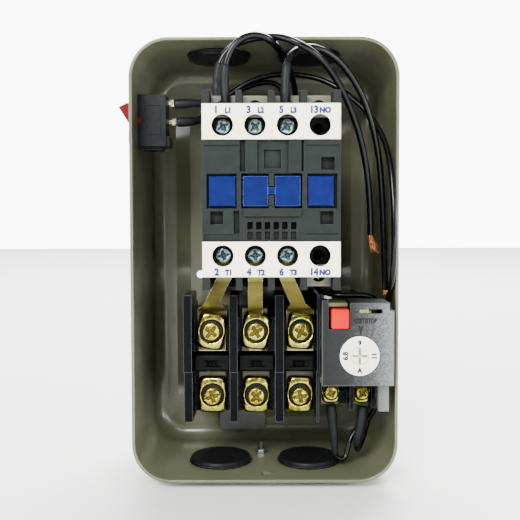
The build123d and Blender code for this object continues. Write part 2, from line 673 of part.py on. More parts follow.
def setting_dial():
    dial = rod("y", (DIAL_X, DIAL_Z), -63.2, HOUSING_Y, DIAL_R)
    dial += rod("y", (DIAL_X, DIAL_Z), -63.2, -64.2, DIAL_R + 0.8)
    dial += rod("y", (DIAL_X, DIAL_Z), -48.0, -63.2, 2.2)
    ring = rod("y", (DIAL_X, DIAL_Z), HOUSING_Y + 0.25, HOUSING_Y - 1, 3.4)
    dial -= ring - rod("y", (DIAL_X, DIAL_Z), HOUSING_Y + 1, HOUSING_Y - 2, 3.0)
    return dial - cross_slot(DIAL_X, DIAL_Z, HOUSING_Y, 5.2, 0.8)


def setting_cam():
    cam = rod("y", (DIAL_X, DIAL_Z + 1.3), -57.8, -60.2, 3.9)
    return cam - rod("y", (DIAL_X, DIAL_Z), -50, -70, 2.2)


# -------------------------------------------------------------------- wires
WIRES = {
    "wire_coil_feed": (MAIN_WIRE_D, [
        (-12.6, -76.1, 50.6), (-12.8, -76.1, 55.4), (-13.0, -76.0, 60.4), (-12.9, -75.9, 65.4),
        (-11.4, -75.8, 70.2), (-8.4, -75.6, 73.9), (-4.4, -75.0, 75.8), (-0.6, -74.2, 75.6),
        (2.2, -72.9, 74.4), (4.3, -69.0, 73.4), (6.2, -63.0, 72.2), (8.0, -56.2, 70.4),
        (9.8, -49.2, 68.2), (11.2, -42.6, 65.8), (12.1, -37.2, 63.4), (12.4, -33.6, 61.4)]),
    "wire_line1_tail": (MAIN_WIRE_D, [
        (-15.6, -68.9, 53.2), (-15.9, -69.0, 58.0), (-16.0, -69.0, 63.0), (-15.2, -69.0, 67.6),
        (-13.0, -68.8, 71.6), (-9.2, -68.5, 74.6), (-4.2, -68.5, 76.2), (1.0, -69.0, 76.6),
        (5.8, -71.2, 76.0), (9.9, -73.6, 74.0), (14.4, -73.8, 71.6), (18.4, -72.0, 69.0),
        (22.4, -68.9, 65.2), (26.6, -65.0, 60.0), (30.6, -61.2, 52.6), (34.2, -57.8, 43.8),
        (36.9, -54.6, 32.6), (38.2, -52.2, 22.6), (38.8, -50.4, 14.8), (38.9, -50.0, 9.6)]),
    "wire_line3_tail": (MAIN_WIRE_D, [
        (6.8, -76.1, 50.6), (6.8, -76.1, 55.4), (6.9, -76.0, 60.4), (7.2, -75.6, 65.4),
        (8.5, -73.9, 69.2), (11.4, -70.8, 72.0), (15.2, -67.4, 73.7), (19.4, -64.8, 73.5),
        (23.5, -62.6, 71.8), (27.2, -60.6, 69.2), (30.9, -58.2, 65.2), (34.4, -55.9, 60.2),
        (37.2, -54.2, 54.0), (39.9, -52.5, 46.2), (42.0, -50.8, 36.0), (43.1, -49.6, 24.8),
        (43.6, -49.2, 13.4), (43.9, -49.8, 2.2), (44.1, -51.0, -10.4)]),
    "wire_switch_loop": (CONTROL_WIRE_D, [
        (-33.3, -42.5, 58.5), (-28.2, -42.3, 58.7), (-22.0, -40.6, 59.2), (-17.0, -38.4, 60.6),
        (-12.0, -37.2, 63.6), (-6.4, -37.0, 67.4), (0.2, -37.1, 69.8), (7.0, -37.4, 70.6),
        (13.0, -38.0, 70.1), (19.0, -39.0, 69.0), (24.6, -40.5, 66.6), (29.4, -42.4, 63.3),
        (33.2, -44.6, 59.8), (36.8, -46.8, 56.0), (39.8, -48.8, 51.8), (42.2, -51.4, 46.8),
        (44.0, -54.8, 40.8), (44.9, -58.8, 31.6), (45.2, -61.8, 20.8), (45.2, -63.4, 8.6),
        (45.1, -62.8, -1.0), (45.0, -60.0, -7.8), (44.8, -55.6, -12.1), (44.7, -50.3, -15.4),
        (44.5, -47.6, -20.8), (44.5, -45.6, -28.4), (44.4, -44.4, -37.6), (44.1, -43.4, -47.4),
        (42.6, -42.2, -55.2), (40.0, -40.6, -60.4), (36.9, -40.2, -63.4), (34.4, -40.9, -65.6),
        (32.5, -42.0, -68.4), (31.6, -42.6, -71.6), (30.9, -43.2, -74.4), (29.6, -43.6, -75.3),
        (28.0, -43.9, -75.2), (26.9, -44.1, -74.1), (26.5, -44.2, -71.3), (26.2, -44.3, -66.6),
        (25.6, -44.5, -61.0), (24.9, -44.6, -54.6)]),
    "wire_switch_coil": (CONTROL_WIRE_D, [
        (-32.4, -42.5, 51.8), (-28.2, -42.3, 52.0), (-24.4, -40.6, 52.6), (-22.2, -37.0, 55.4),
        (-19.0, -34.3, 59.0), (-14.2, -33.5, 62.4), (-8.6, -33.4, 65.6), (-2.8, -33.4, 67.8),
        (2.4, -33.2, 68.4), (5.9, -32.8, 67.2), (7.3, -32.4, 64.6), (7.2, -32.0, 61.8)]),
    "wire_aux_link": (CONTROL_WIRE_D, [
        (37.1, -44.8, -54.8), (36.8, -45.2, -58.6), (35.9, -45.5, -63.6), (34.9, -45.4, -68.2),
        (34.9, -42.6, -72.2), (36.4, -38.0, -73.2), (38.8, -34.4, -69.2), (41.4, -33.0, -60.6),
        (42.7, -33.2, -49.6), (43.0, -34.6, -39.8), (43.1, -37.2, -31.0), (43.3, -41.0, -24.2),
        (43.2, -44.2, -18.8), (42.0, -46.0, -14.7), (38.8, -46.7, -12.9), (34.4, -47.0, -12.6),
        (29.4, -47.5, -12.7), (25.0, -49.0, -12.3), (21.4, -52.6, -11.0), (18.9, -57.4, -9.3),
        (17.8, -62.0, -7.6), (17.7, -65.8, -5.8)]),
}
STRANDS = {
    "copper_strands_line1": ((38.9, -50.0, 9.5), [(38.0, -50.6, 1.4), (39.3, -49.6, 0.8), (40.6, -50.4, 2.2),
                                                  (41.6, -49.8, 3.8), (37.7, -50.0, 4.6), (39.9, -51.0, 5.0)]),
    "copper_strands_line3": ((44.1, -51.0, -10.5), [(43.8, -51.4, -13.0), (44.5, -51.2, -13.2)]),
}
STRAND_R = 0.22


def corner_radii(points):
    """Largest arc at each corner that leaves a tenth of the shorter run straight."""
    radii = []
    for before, here, after in zip(points, points[1:], points[2:]):
        run_in = Vector(*here) - Vector(*before)
        run_out = Vector(*after) - Vector(*here)
        turn = math.radians(run_in.get_angle(run_out))
        radii.append(0.45 * min(run_in.length, run_out.length) / math.tan(turn / 2))
    return radii


def wire(name):
    diameter, points = WIRES[name]
    radii = corner_radii(points)
    path = FilletPolyline(*points, radius=radii)
    section = Plane(path @ 0, z_dir=path % 0) * Circle(diameter / 2)
    tube = sweep(section, path=path)
    expected = math.pi * diameter ** 2 / 4 * path.length
    print(f"{name}: length {path.length:.1f}, volume {tube.volume:.1f} of {expected:.1f}, "
          f"radii {[round(r, 1) for r in radii]}")
    return tube


def copper_strands(name):
    """Twisted bare strands that fan out of a stripped wire end."""
    root, tips = STRANDS[name]
    start = Vector(*root)
    bundle = None
    for tip in tips:
        run = Vector(*tip) - start
        strand = Plane(origin=start, z_dir=run) * Pos(0, 0, run.length / 2) * Cylinder(STRAND_R, run.length)
        bundle = strand if bundle is None else bundle + strand
    return bundle


def sleeve(points, outer, inner):
    """Shrunk tube over the first runs of a wire, ending halfway along the last of them."""
    cut = (Vector(*points[-2]) + Vector(*points[-1])) * 0.5
    kept = list(points[:-1])
    path = Polyline(kept[0], cut)
    if len(kept) > 1:
        path = FilletPolyline(*kept, cut, radius=corner_radii(points))
    plane = Plane(path @ 0, z_dir=path % 0)
    return sweep(plane * Circle(outer), path=path) - sweep(plane * Circle(inner), path=path)


def heat_shrink_sleeves():
    main = MAIN_WIRE_D / 2 + 0.06
    control = CONTROL_WIRE_D / 2 + 0.06
    places = [("wire_coil_feed", 4, 1.45, main), ("wire_line1_tail", 5, 1.5, main),
              ("wire_line3_tail", 4, 1.5, main), ("wire_switch_loop", 3, 1.6, control),
              ("wire_switch_coil", 3, 1.6, control), ("wire_aux_link", 3, 1.9, control),
              ("wire_switch_loop", -4, 1.8, control)]
    tubes = []
    for name, count, outer, inner in places:
        points = WIRES[name][1]
        stretch = points[:count] if count > 0 else points[::-1][:-count]
        tubes.append(sleeve(stretch, outer, inner))
    return tubes


def build():
    os.makedirs("parts", exist_ok=True)
    save("enclosure_base", enclosure_base())
    for wall, side in (("top", 1), ("bottom", -1)):
        save(f"grommet_{wall}_left", grommet(-GROMMET_X, side))
        save(f"grommet_{wall}_right", grommet(GROMMET_X, side))
    save("earth_screw", earth_screw())
    save("earth_nut", earth_nut())
    save("earth_label", earth_label())
    save("mounting_screws", *mounting_screws())
    save("rocker_housing", rocker_housing())
    save("rocker_button", rocker_button())
    save("rocker_terminals", *rocker_terminals())
    save("contactor_base", contactor_base())
    save("contactor_body", contactor_body())
    save("terminal_cover_top", terminal_cover(1))
    save("terminal_cover_bottom", terminal_cover(-1))
    save("main_terminal_screws", *main_terminal_screws())
    save("fixed_contacts", *fixed_contacts())
    save("contact_carrier", contact_carrier())
    save("moving_contacts", *moving_contacts())
    save("contact_springs", *contact_springs())
    save("fixed_core", e_core(-3.2, -10.0, -25.0))
    save("armature_core", e_core(-42.2, -36.0, -30.6))
    save("coil_bobbin", coil_bobbin())
    save("coil_winding", coil_winding())
    save("return_spring", return_spring())
    save("coil_terminals", *coil_terminals())
    save("coil_terminal_screws", *coil_terminal_screws())
    save("dust_cap_left", dust_cap(-20.3, -11.6))
    save("dust_cap_right", dust_cap(11.9, 20.3))
    save("relay_base", relay_base())
    save("relay_housing", relay_housing())
    save("heater_covers", *heater_covers())
    save("relay_terminal_plates", *terminal_plates())
    save("aux_terminal_plates", *aux_plates())
    save("saddle_clamps", *saddle_clamps())
    save("saddle_screws", *saddle_screws())
    save("aux_clamps", *aux_clamps())
    save("aux_terminal_screws", *aux_terminal_screws())
    save("link_bar_left", link_bar(KX + POLES[0], (-21.6, -16.2, -14.7), (-24.7, -13.9, -18.0), RELAY_POLES[0]))
    save("link_bar_middle", link_bar(KX + POLES[1], (-5.9, -0.7, -12.0), (-6.1, -0.5, -17.8), RELAY_POLES[1]))
    save("link_bar_right", link_bar(KX + POLES[2], (9.3, 15.0, -15.2), (8.0, 18.4, -18.2), RELAY_POLES[2]))
    save("bimetal_strips", *bimetal_strips())
    save("trip_bar", trip_bar())
    save("trip_indicator", trip_indicator())
    save("reset_button", reset_button())
    save("reset_spring", reset_spring())
    save("latch_lever", latch_lever())
    save("setting_dial", setting_dial())
    save("setting_cam", setting_cam())
    for name in WIRES:
        save(name, wire(name))
    for name in STRANDS:
        save(name, copper_strands(name))
    save("heat_shrink_sleeves", *heat_shrink_sleeves())


build()
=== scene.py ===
"""Looks of a direct-on-line motor starter with its cover off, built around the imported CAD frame."""

import math
import random

import bmesh
import bpy
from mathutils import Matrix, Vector


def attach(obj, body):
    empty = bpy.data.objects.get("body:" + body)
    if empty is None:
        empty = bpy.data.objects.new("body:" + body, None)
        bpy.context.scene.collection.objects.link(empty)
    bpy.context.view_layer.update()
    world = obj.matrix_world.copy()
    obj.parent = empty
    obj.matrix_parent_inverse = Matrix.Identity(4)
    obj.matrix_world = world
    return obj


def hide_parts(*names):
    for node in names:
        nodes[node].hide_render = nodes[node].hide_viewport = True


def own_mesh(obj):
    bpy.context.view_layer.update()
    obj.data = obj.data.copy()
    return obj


MM = 0.001
FLOOR_Z = -0.0815          # just under the case, in metres
CASE_HALF_HEIGHT = 79.0
SHEET = 1.2                # thickness of the case's steel
POLE_PITCHES = (-15.8, -5.27, 5.27, 15.8)
SCREW_ROW = 21.15          # of the contactor's screws, above and below its middle
DIAL_FACE = -66.02         # front of the relay housing's print
EDGE_LIMIT = math.radians(40)

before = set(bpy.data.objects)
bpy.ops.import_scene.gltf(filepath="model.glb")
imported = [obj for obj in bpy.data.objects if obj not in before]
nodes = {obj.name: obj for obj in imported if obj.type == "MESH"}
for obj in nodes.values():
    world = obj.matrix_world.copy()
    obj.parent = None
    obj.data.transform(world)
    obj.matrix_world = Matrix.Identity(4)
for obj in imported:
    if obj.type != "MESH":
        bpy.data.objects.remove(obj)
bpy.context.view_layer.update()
scene = bpy.context.scene


def mm(x, y, z):
    return Vector((x, y, z)) * MM


# ------------------------------------------------------------------ camera
camera_data = bpy.data.cameras.new("camera")
camera_data.lens = 51.67
camera_data.sensor_width = 36.0
camera = bpy.data.objects.new("camera", camera_data)
camera.location = mm(-1.13, -323.25, 12.58)
camera.rotation_euler = [math.radians(a) for a in (87.479, 0.141, 0.088)]
scene.collection.objects.link(camera)
scene.camera = camera


# --------------------------------------------------------------- materials
def lin(r, g, b):
    """sRGB bytes to the linear values that shaders take."""
    out = []
    for byte in (r, g, b):
        v = byte / 255
        out.append(v / 12.92 if v <= 0.04045 else ((v + 0.055) / 1.055) ** 2.4)
    return out


def link(tree, a, b):
    tree.links.new(a, b)


def noise(tree, scale, detail=3.0, stretch=(1, 1, 1), rough=0.55):
    coords = tree.nodes.new("ShaderNodeTexCoord")
    mapping = tree.nodes.new("ShaderNodeMapping")
    mapping.inputs["Scale"].default_value = stretch
    link(tree, coords.outputs["Object"], mapping.inputs["Vector"])
    tex = tree.nodes.new("ShaderNodeTexNoise")
    tex.inputs["Scale"].default_value = scale
    tex.inputs["Detail"].default_value = detail
    tex.inputs["Roughness"].default_value = rough
    link(tree, mapping.outputs["Vector"], tex.inputs["Vector"])
    return tex.outputs["Fac"]


def ramp(tree, source, stops):
    node = tree.nodes.new("ShaderNodeValToRGB")
    elements = node.color_ramp.elements
    while len(elements) < len(stops):
        elements.new(0.5)
    for element, (place, colour) in zip(elements, stops):
        element.position = place
        element.color = (*colour, 1)
    link(tree, source, node.inputs["Fac"])
    return node.outputs["Color"]


def map_range(tree, source, low, high, start=0.3, end=0.7):
    node = tree.nodes.new("ShaderNodeMapRange")
    node.inputs["From Min"].default_value = start
    node.inputs["From Max"].default_value = end
    node.inputs["To Min"].default_value = low
    node.inputs["To Max"].default_value = high
    link(tree, source, node.inputs["Value"])
    return node.outputs["Result"]


def mix(tree, factor, a, b):
    node = tree.nodes.new("ShaderNodeMix")
    node.data_type = "RGBA"
    link(tree, factor, node.inputs["Factor"])
    for socket, value in ((node.inputs[6], a), (node.inputs[7], b)):
        if isinstance(value, (list, tuple)):
            socket.default_value = (*value, 1)
        else:
            link(tree, value, socket)
    return node.outputs[2]


def shaded_in_gaps(tree, colour, reach, darkest):
    """Painted shade: darker colour in gaps and corners, where shadow gathers."""
    open_air = tree.nodes.new("ShaderNodeAmbientOcclusion")
    open_air.inputs["Distance"].default_value = reach * MM
    open_air.samples = 12
    scaled = tree.nodes.new("ShaderNodeVectorMath")
    scaled.operation = "SCALE"
    link(tree, colour, scaled.inputs["Vector"])
    link(tree, map_range(tree, open_air.outputs["AO"], darkest, 1.0, 0.3, 0.92), scaled.inputs["Scale"])
    return scaled.outputs["Vector"]


def painted_edge_highlight(tree, colour, radius, highlight_colour):
    """Painted highlight: paler colour along the edges of a moulding, where light catches the rounding."""
    rounded = tree.nodes.new("ShaderNodeBevel")
    rounded.inputs["Radius"].default_value = radius * MM
    rounded.samples = 8
    flat = tree.nodes.new("ShaderNodeNewGeometry")
    agreement = tree.nodes.new("ShaderNodeVectorMath")
    agreement.operation = "DOT_PRODUCT"
    link(tree, rounded.outputs["Normal"], agreement.inputs[0])
    link(tree, flat.outputs["Normal"], agreement.inputs[1])
    return mix(tree, map_range(tree, agreement.outputs["Value"], 1.0, 0.0, 0.9, 0.985), colour, highlight_colour)


def shaded_along_axis(tree, colour, axis, start, end, darkest):
    """Painted shade: colour that darkens along one axis, from full at end to darkest at start."""
    coords = tree.nodes.new("ShaderNodeTexCoord")
    split = tree.nodes.new("ShaderNodeSeparateXYZ")
    link(tree, coords.outputs["Object"], split.inputs["Vector"])
    scaled = tree.nodes.new("ShaderNodeVectorMath")
    scaled.operation = "SCALE"
    link(tree, colour, scaled.inputs["Vector"])
    shade = map_range(tree, split.outputs[axis], darkest, 1.0, start * MM, end * MM)
    link(tree, shade, scaled.inputs["Scale"])
    return scaled.outputs["Vector"]


def material(name, stops, rough, metal=0.0, scale=180, grain=1800, bump=0.15, depth=0.05,
             stretch=(1, 1, 1), orange_peel=0.0, specular=0.5, coat=0.0, gap_shade=None,
             edge=None, axis_shade=None):
    """Procedural finish: colour that wanders between the stops, uneven sheen and a fine grain."""
    made = bpy.data.materials.new(name)
    made.use_nodes = True
    tree = made.node_tree
    shader = tree.nodes["Principled BSDF"]
    shader.inputs["Metallic"].default_value = metal
    shader.inputs["Specular IOR Level"].default_value = specular
    shader.inputs["Coat Weight"].default_value = coat
    shader.inputs["Coat Roughness"].default_value = 0.12
    colour = ramp(tree, noise(tree, scale, 4, stretch), stops)
    # painted highlight along the edges
    if edge:
        colour = painted_edge_highlight(tree, colour, *edge)
    # painted shade that darkens along one axis
    if axis_shade:
        colour = shaded_along_axis(tree, colour, *axis_shade)
    # painted shade in gaps and corners
    if gap_shade:
        colour = shaded_in_gaps(tree, colour, *gap_shade)
    link(tree, colour, shader.inputs["Base Color"])
    sheen = map_range(tree, noise(tree, scale * 2.3, 5, stretch), rough - depth, rough + depth)
    link(tree, sheen, shader.inputs["Roughness"])
    fine = tree.nodes.new("ShaderNodeBump")
    fine.inputs["Strength"].default_value = bump
    fine.inputs["Distance"].default_value = 0.00004
    link(tree, noise(tree, grain, 3, stretch), fine.inputs["Height"])
    if orange_peel:
        wavy = tree.nodes.new("ShaderNodeBump")
        wavy.inputs["Strength"].default_value = orange_peel
        wavy.inputs["Distance"].default_value = 0.00025
        link(tree, noise(tree, 420, 2), wavy.inputs["Height"])
        link(tree, wavy.outputs["Normal"], fine.inputs["Normal"])
    link(tree, fine.outputs["Normal"], shader.inputs["Normal"])
    return made


def shades(r, g, b, spread=0.12):
    """Two ramp stops either side of one sRGB colour."""
    colour = lin(r, g, b)
    return [(0.32, [v * (1 - spread) for v in colour]), (0.68, [min(1, v * (1 + spread)) for v in colour])]


# painted shade in the case's corners and gaps
PAINT = material("paint_olive_grey", shades(92, 93, 72, 0.1), 0.34, scale=40, grain=900, bump=0.1,
                 orange_peel=0.16, specular=0.3, coat=0.35, gap_shade=(9.0, 0.6))
RUBBER = material("rubber_black", shades(15, 16, 17, 0.25), 0.45, scale=300, grain=1400, bump=0.35,
                  specular=0.12)
ZINC = material("zinc_blue_white", [(0.3, lin(110, 126, 132)), (0.55, lin(156, 174, 178)),
                                    (0.75, lin(204, 216, 216))],
                0.3, metal=0.95, scale=420, grain=2200, bump=0.25, depth=0.08)
# painted shade in gaps and corners
YELLOW_ZINC = material("zinc_yellow", [(0.26, lin(70, 72, 14)), (0.38, lin(140, 148, 22)),
                                       (0.5, lin(204, 204, 84)),
                                       (0.58, lin(170, 134, 84)), (0.7, lin(96, 156, 104))],
                       0.2, metal=1.0, scale=330, grain=1300, bump=0.5, depth=0.08, gap_shade=(1.6, 0.3))
TINNED = material("tinned_brass", [(0.3, lin(120, 112, 66)), (0.5, lin(214, 208, 168)),
                                   (0.7, lin(244, 240, 214))],
                  0.22, metal=0.95, scale=420, grain=1600, bump=0.5, depth=0.08)
HEATER = material("heater_cover", shades(4, 8, 7, 0.25), 0.3, scale=260, grain=1500, bump=0.2, specular=0.07)
MOULDED = material("moulded_mark", shades(1, 2, 2, 0.3), 0.3, scale=260, grain=1500, bump=0.2, specular=0.02)
SCREW_GOLD = material("zinc_gold", [(0.3, lin(120, 112, 34)), (0.6, lin(196, 184, 84)),
                                    (0.8, lin(190, 156, 104))],
                      0.24, metal=0.95, scale=320, grain=2200, bump=0.3, depth=0.08)
# painted shade: darker copies of the screw finishes for faces deep in the drive recesses
GOLD_RECESS_SHADE = material("gold_recess_shade", shades(92, 84, 22, 0.3), 0.4, metal=0.8, scale=600, bump=0.3)
ZINC_RECESS_SHADE = material("zinc_recess_shade", shades(58, 76, 84, 0.25), 0.4, metal=0.8, scale=600, bump=0.3)
# painted shade: near black for the saddle cups and the washers behind the terminal screws, where shadow falls
SHADE = material("clamp_painted_shade", shades(20, 20, 12, 0.3), 0.5, metal=0.3, scale=600, bump=0.3, specular=0.3)
LABEL = material("grey_plate", shades(76, 80, 77), 0.4, scale=150, bump=0.2)
# painted highlight along its edges
BAKELITE = material("bakelite_black", shades(4, 5, 7, 0.35), 0.2, scale=220, grain=1500, bump=0.1, depth=0.06,
                    specular=0.05, edge=(0.5, lin(56, 62, 68)))
SWITCH = material("switch_black", shades(20, 24, 25, 0.25), 0.32, scale=300, grain=1800, bump=0.15,
                  specular=0.14)
ROCKER_RED = material("rocker_red", shades(96, 8, 4, 0.15), 0.3, scale=260, grain=1700, bump=0.1,
                      specular=0.15)
# painted shade in the contactor's recesses and gaps
BODY = material("contactor_anthracite", shades(29, 33, 32, 0.12), 0.5, scale=240, grain=2600, bump=0.35,
                specular=0.06,
                gap_shade=(2.6, 0.22))
# painted shade in gaps and recesses
BODY_DARK = material("contactor_base_grey", shades(26, 28, 29, 0.12), 0.55, scale=240, grain=2600, bump=0.35,
                     specular=0.08, gap_shade=(3.0, 0.3))
# painted shade in gaps, and on the terminal steps set deeper in Y
IVORY = material("cover_ivory", shades(252, 250, 216, 0.02), 0.42, scale=150, grain=2200, bump=0.2,
                 gap_shade=(6.0, 0.45), axis_shade=("Y", -75.5, -79.0, 0.13))
# painted shade in gaps and recesses
BLUE = material("plastic_blue", shades(2, 17, 72, 0.2), 0.34, scale=260, grain=2000, bump=0.2, specular=0.12,
                gap_shade=(2.0, 0.4))
CORE = material("core_steel", shades(120, 122, 124, 0.2), 0.4, metal=0.9, scale=300, stretch=(1, 1, 30),
                bump=0.4)
WINDING = material("enamel_copper", shades(150, 66, 30, 0.2), 0.3, metal=0.8, scale=400,
                   stretch=(1, 1, 20), bump=0.5)
COPPER = material("bare_copper", [(0.3, lin(150, 78, 38)), (0.7, lin(222, 150, 96))], 0.26, metal=1.0,
                  scale=900,
                  grain=3000, bump=0.3, depth=0.1)
DULL_COPPER = material("contact_copper", shades(44, 28, 20, 0.25), 0.5, metal=0.7, scale=500, bump=0.3)
# painted shade in gaps and towards -X, with a painted highlight along its edges
BRASS = material("satin_brass", [(0.3, lin(122, 112, 50)), (0.6, lin(138, 129, 64)),
                                 (0.8, lin(152, 143, 78))],
                 0.4, metal=0.45, scale=120, grain=1500, bump=0.4, depth=0.08, gap_shade=(4.0, 0.25),
                 axis_shade=("X", -17.0, -7.0, 0.36), edge=(0.4, lin(228, 222, 176)))
# painted shade in gaps and corners
DARK_BRASS = material("aged_brass", shades(76, 72, 54, 0.25), 0.36, metal=0.75, scale=300, grain=1500,
                      bump=0.3,
                      gap_shade=(2.5, 0.2))
ORANGE = material("reset_orange", shades(180, 26, 6, 0.08), 0.36, scale=200, grain=1800, bump=0.2,
                  specular=0.1)
SPRING = material("spring_steel", shades(170, 172, 174, 0.1), 0.28, metal=1.0, scale=800, bump=0.3)
WHITE = material("dial_white", shades(236, 236, 216, 0.04), 0.4, scale=240, grain=2200, bump=0.2)
BEIGE = material("lever_beige", shades(112, 110, 66, 0.1), 0.42, scale=240, grain=2200, bump=0.2)
INSULATION = material("wire_black", shades(5, 6, 8, 0.25), 0.2, scale=160, grain=1100, bump=0.02, depth=0.03,
                      specular=0.2)
SLEEVE = material("sleeve_dark", shades(16, 20, 21, 0.2), 0.46, scale=320, grain=1600, bump=0.5,
                  specular=0.16)
HOUSING = material("relay_dark_grey", shades(24, 27, 28, 0.08), 0.36, scale=200, grain=2600, bump=0.5,
                   specular=0.2)


def painted_sheen_along_x(made, low_x, high_x, stops):
    """Painted sheen: let the colour of a finish drift lighter along X, as a light's reflection would, broken
    up by a fine grain.
    """
    tree = made.node_tree
    coords = tree.nodes.new("ShaderNodeTexCoord")
    split = tree.nodes.new("ShaderNodeSeparateXYZ")
    link(tree, coords.outputs["Object"], split.inputs["Vector"])
    along = map_range(tree, split.outputs["X"], 0.0, 0.86, low_x * MM, high_x * MM)
    grains = map_range(tree, noise(tree, 1900, 3), -0.12, 0.18, 0.3, 0.72)
    total = tree.nodes.new("ShaderNodeMath")
    link(tree, along, total.inputs[0])
    link(tree, grains, total.inputs[1])
    link(tree, ramp(tree, total.outputs["Value"], stops), tree.nodes["Principled BSDF"].inputs["Base Color"])


# painted sheen: the relay housing lightens towards +X
painted_sheen_along_x(HOUSING, 21, 45.5, [(0.0, lin(13, 16, 17)), (0.33, lin(22, 26, 27)), (0.6, lin(56, 61, 61)),
                           (1.0, lin(118, 124, 122))])
INK = material("print_blue", shades(22, 26, 104, 0.08), 0.5, scale=900, bump=0.1, specular=0.2)
BLACK_INK = material("print_black", shades(12, 12, 13, 0.2), 0.5, scale=900, bump=0.1, specular=0.2)
# lighter copies of finishes for bevelled edges: painted highlight where light catches the rounding
BAKELITE_HIGHLIGHT = material("bakelite_edge_highlight", shades(70, 78, 86, 0.15), 0.24, scale=300, bump=0.2, specular=0.5)
BODY_HIGHLIGHT = material("contactor_edge_highlight", shades(66, 70, 70, 0.1), 0.4, scale=300, bump=0.1, specular=0.3)
BLUE_HIGHLIGHT = material("blue_edge_highlight", shades(26, 56, 132, 0.1), 0.3, scale=300, bump=0.1, specular=0.4)
BRASS_HIGHLIGHT = material("brass_edge_highlight", shades(226, 218, 166, 0.08), 0.25, metal=0.7, scale=300, bump=0.1)
MARK = material("dial_cross", shades(116, 114, 78, 0.15), 0.5, scale=900, bump=0.1, specular=0.2)
FLOOR = material("studio_floor", shades(240, 240, 238, 0.01), 0.8, scale=3, bump=0.05)

FINISH = {
    "enclosure_base": PAINT, "earth_label": LABEL, "rocker_housing": SWITCH, "rocker_button": ROCKER_RED,
    "contactor_body": BODY, "contactor_base": BODY_DARK, "terminal_cover_top": IVORY,
    "terminal_cover_bottom": IVORY, "contact_carrier": BLUE, "dust_cap_left": BLUE, "dust_cap_right": BLUE,
    "coil_bobbin": WHITE, "coil_winding": WINDING, "fixed_core": CORE, "armature_core": CORE,
    "fixed_contacts": DULL_COPPER, "moving_contacts": DULL_COPPER, "contact_springs": SPRING,
    "coil_terminals": ZINC, "coil_terminal_screws": ZINC, "mounting_screws": ZINC,
    "rocker_terminals": TINNED, "earth_nut": ZINC, "earth_screw": DARK_BRASS, "relay_base": BAKELITE,
    "relay_housing": HOUSING, "heater_covers": HEATER, "relay_terminal_plates": DARK_BRASS,
    "aux_terminal_plates": DARK_BRASS, "bimetal_strips": BRASS, "trip_bar": BEIGE, "trip_indicator": BEIGE,
    "reset_button": ORANGE, "latch_lever": BEIGE, "setting_dial": WHITE, "setting_cam": BEIGE,
    "link_bar_left": BRASS, "link_bar_middle": BRASS, "link_bar_right": BRASS,
}
# width of the rounding on the edges of each carried-over node, in mm
ROUNDING = {
    "contactor_body": 0.18, "contactor_base": 0.2, "terminal_cover_top": 0.16, "terminal_cover_bottom": 0.16,
    "contact_carrier": 0.25, "dust_cap_left": 0.25, "dust_cap_right": 0.25,
    "rocker_housing": 0.2, "rocker_button": 0.35, "relay_base": 0.42,
    "relay_housing": 0.2, "heater_covers": 0.25, "link_bar_left": 0.18, "link_bar_middle": 0.18,
    "link_bar_right": 0.18, "setting_dial": 0.12, "relay_terminal_plates": 0.15, "aux_terminal_plates": 0.15,
    "reset_button": 0.8, "earth_nut": 0.12, "trip_indicator": 0.1, "latch_lever": 0.15,
}
# nodes whose bevel faces take a painted highlight
EDGE_HIGHLIGHTS = {
    "relay_base": BAKELITE_HIGHLIGHT, "contactor_body": BODY_HIGHLIGHT, "contactor_base": BODY_HIGHLIGHT,
    "contact_carrier": BLUE_HIGHLIGHT, "dust_cap_left": BLUE_HIGHLIGHT, "dust_cap_right": BLUE_HIGHLIGHT,
    "link_bar_left": BRASS_HIGHLIGHT, "link_bar_middle": BRASS_HIGHLIGHT, "link_bar_right": BRASS_HIGHLIGHT,
    "relay_housing": BODY_HIGHLIGHT, "rocker_housing": BODY_HIGHLIGHT,
}
for node_name, finish in FINISH.items():
    thing = nodes[node_name]
    thing.data.materials.clear()
    thing.data.materials.append(finish)
    if node_name in ROUNDING:
        weld = thing.modifiers.new("weld", "WELD")
        weld.merge_threshold = 0.000002
        bevel = thing.modifiers.new("rounding", "BEVEL")
        bevel.width = ROUNDING[node_name] * MM
        bevel.segments = 2
        bevel.limit_method = "ANGLE"
        bevel.angle_limit = EDGE_LIMIT
        bevel.harden_normals = False
        bevel.miter_outer = "MITER_ARC"
        # bevel faces take the lighter copy: painted highlight
        if node_name in EDGE_HIGHLIGHTS:
            thing.data.materials.append(EDGE_HIGHLIGHTS[node_name])
            bevel.material = 1
        smooth = thing.modifiers.new("weighted", "WEIGHTED_NORMAL")
        smooth.keep_sharp = True


def add(name, mesh, finish, body="case", replaced=(), smooth=True):
    """Link a mesh as a piece that rides on a body and stands for CAD nodes."""
    piece = bpy.data.objects.new(name, mesh)
    scene.collection.objects.link(piece)
    for one in (finish if isinstance(finish, list) else [finish]):
        mesh.materials.append(one)
    if smooth:
        for face in mesh.polygons:
            face.use_smooth = True
    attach(piece, body)
    if replaced:
        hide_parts(*replaced)
    return piece


def finished(bm, name):
    bmesh.ops.recalc_face_normals(bm, faces=bm.faces)
    mesh = bpy.data.meshes.new(name)
    bm.to_mesh(mesh)
    bm.free()
    return mesh


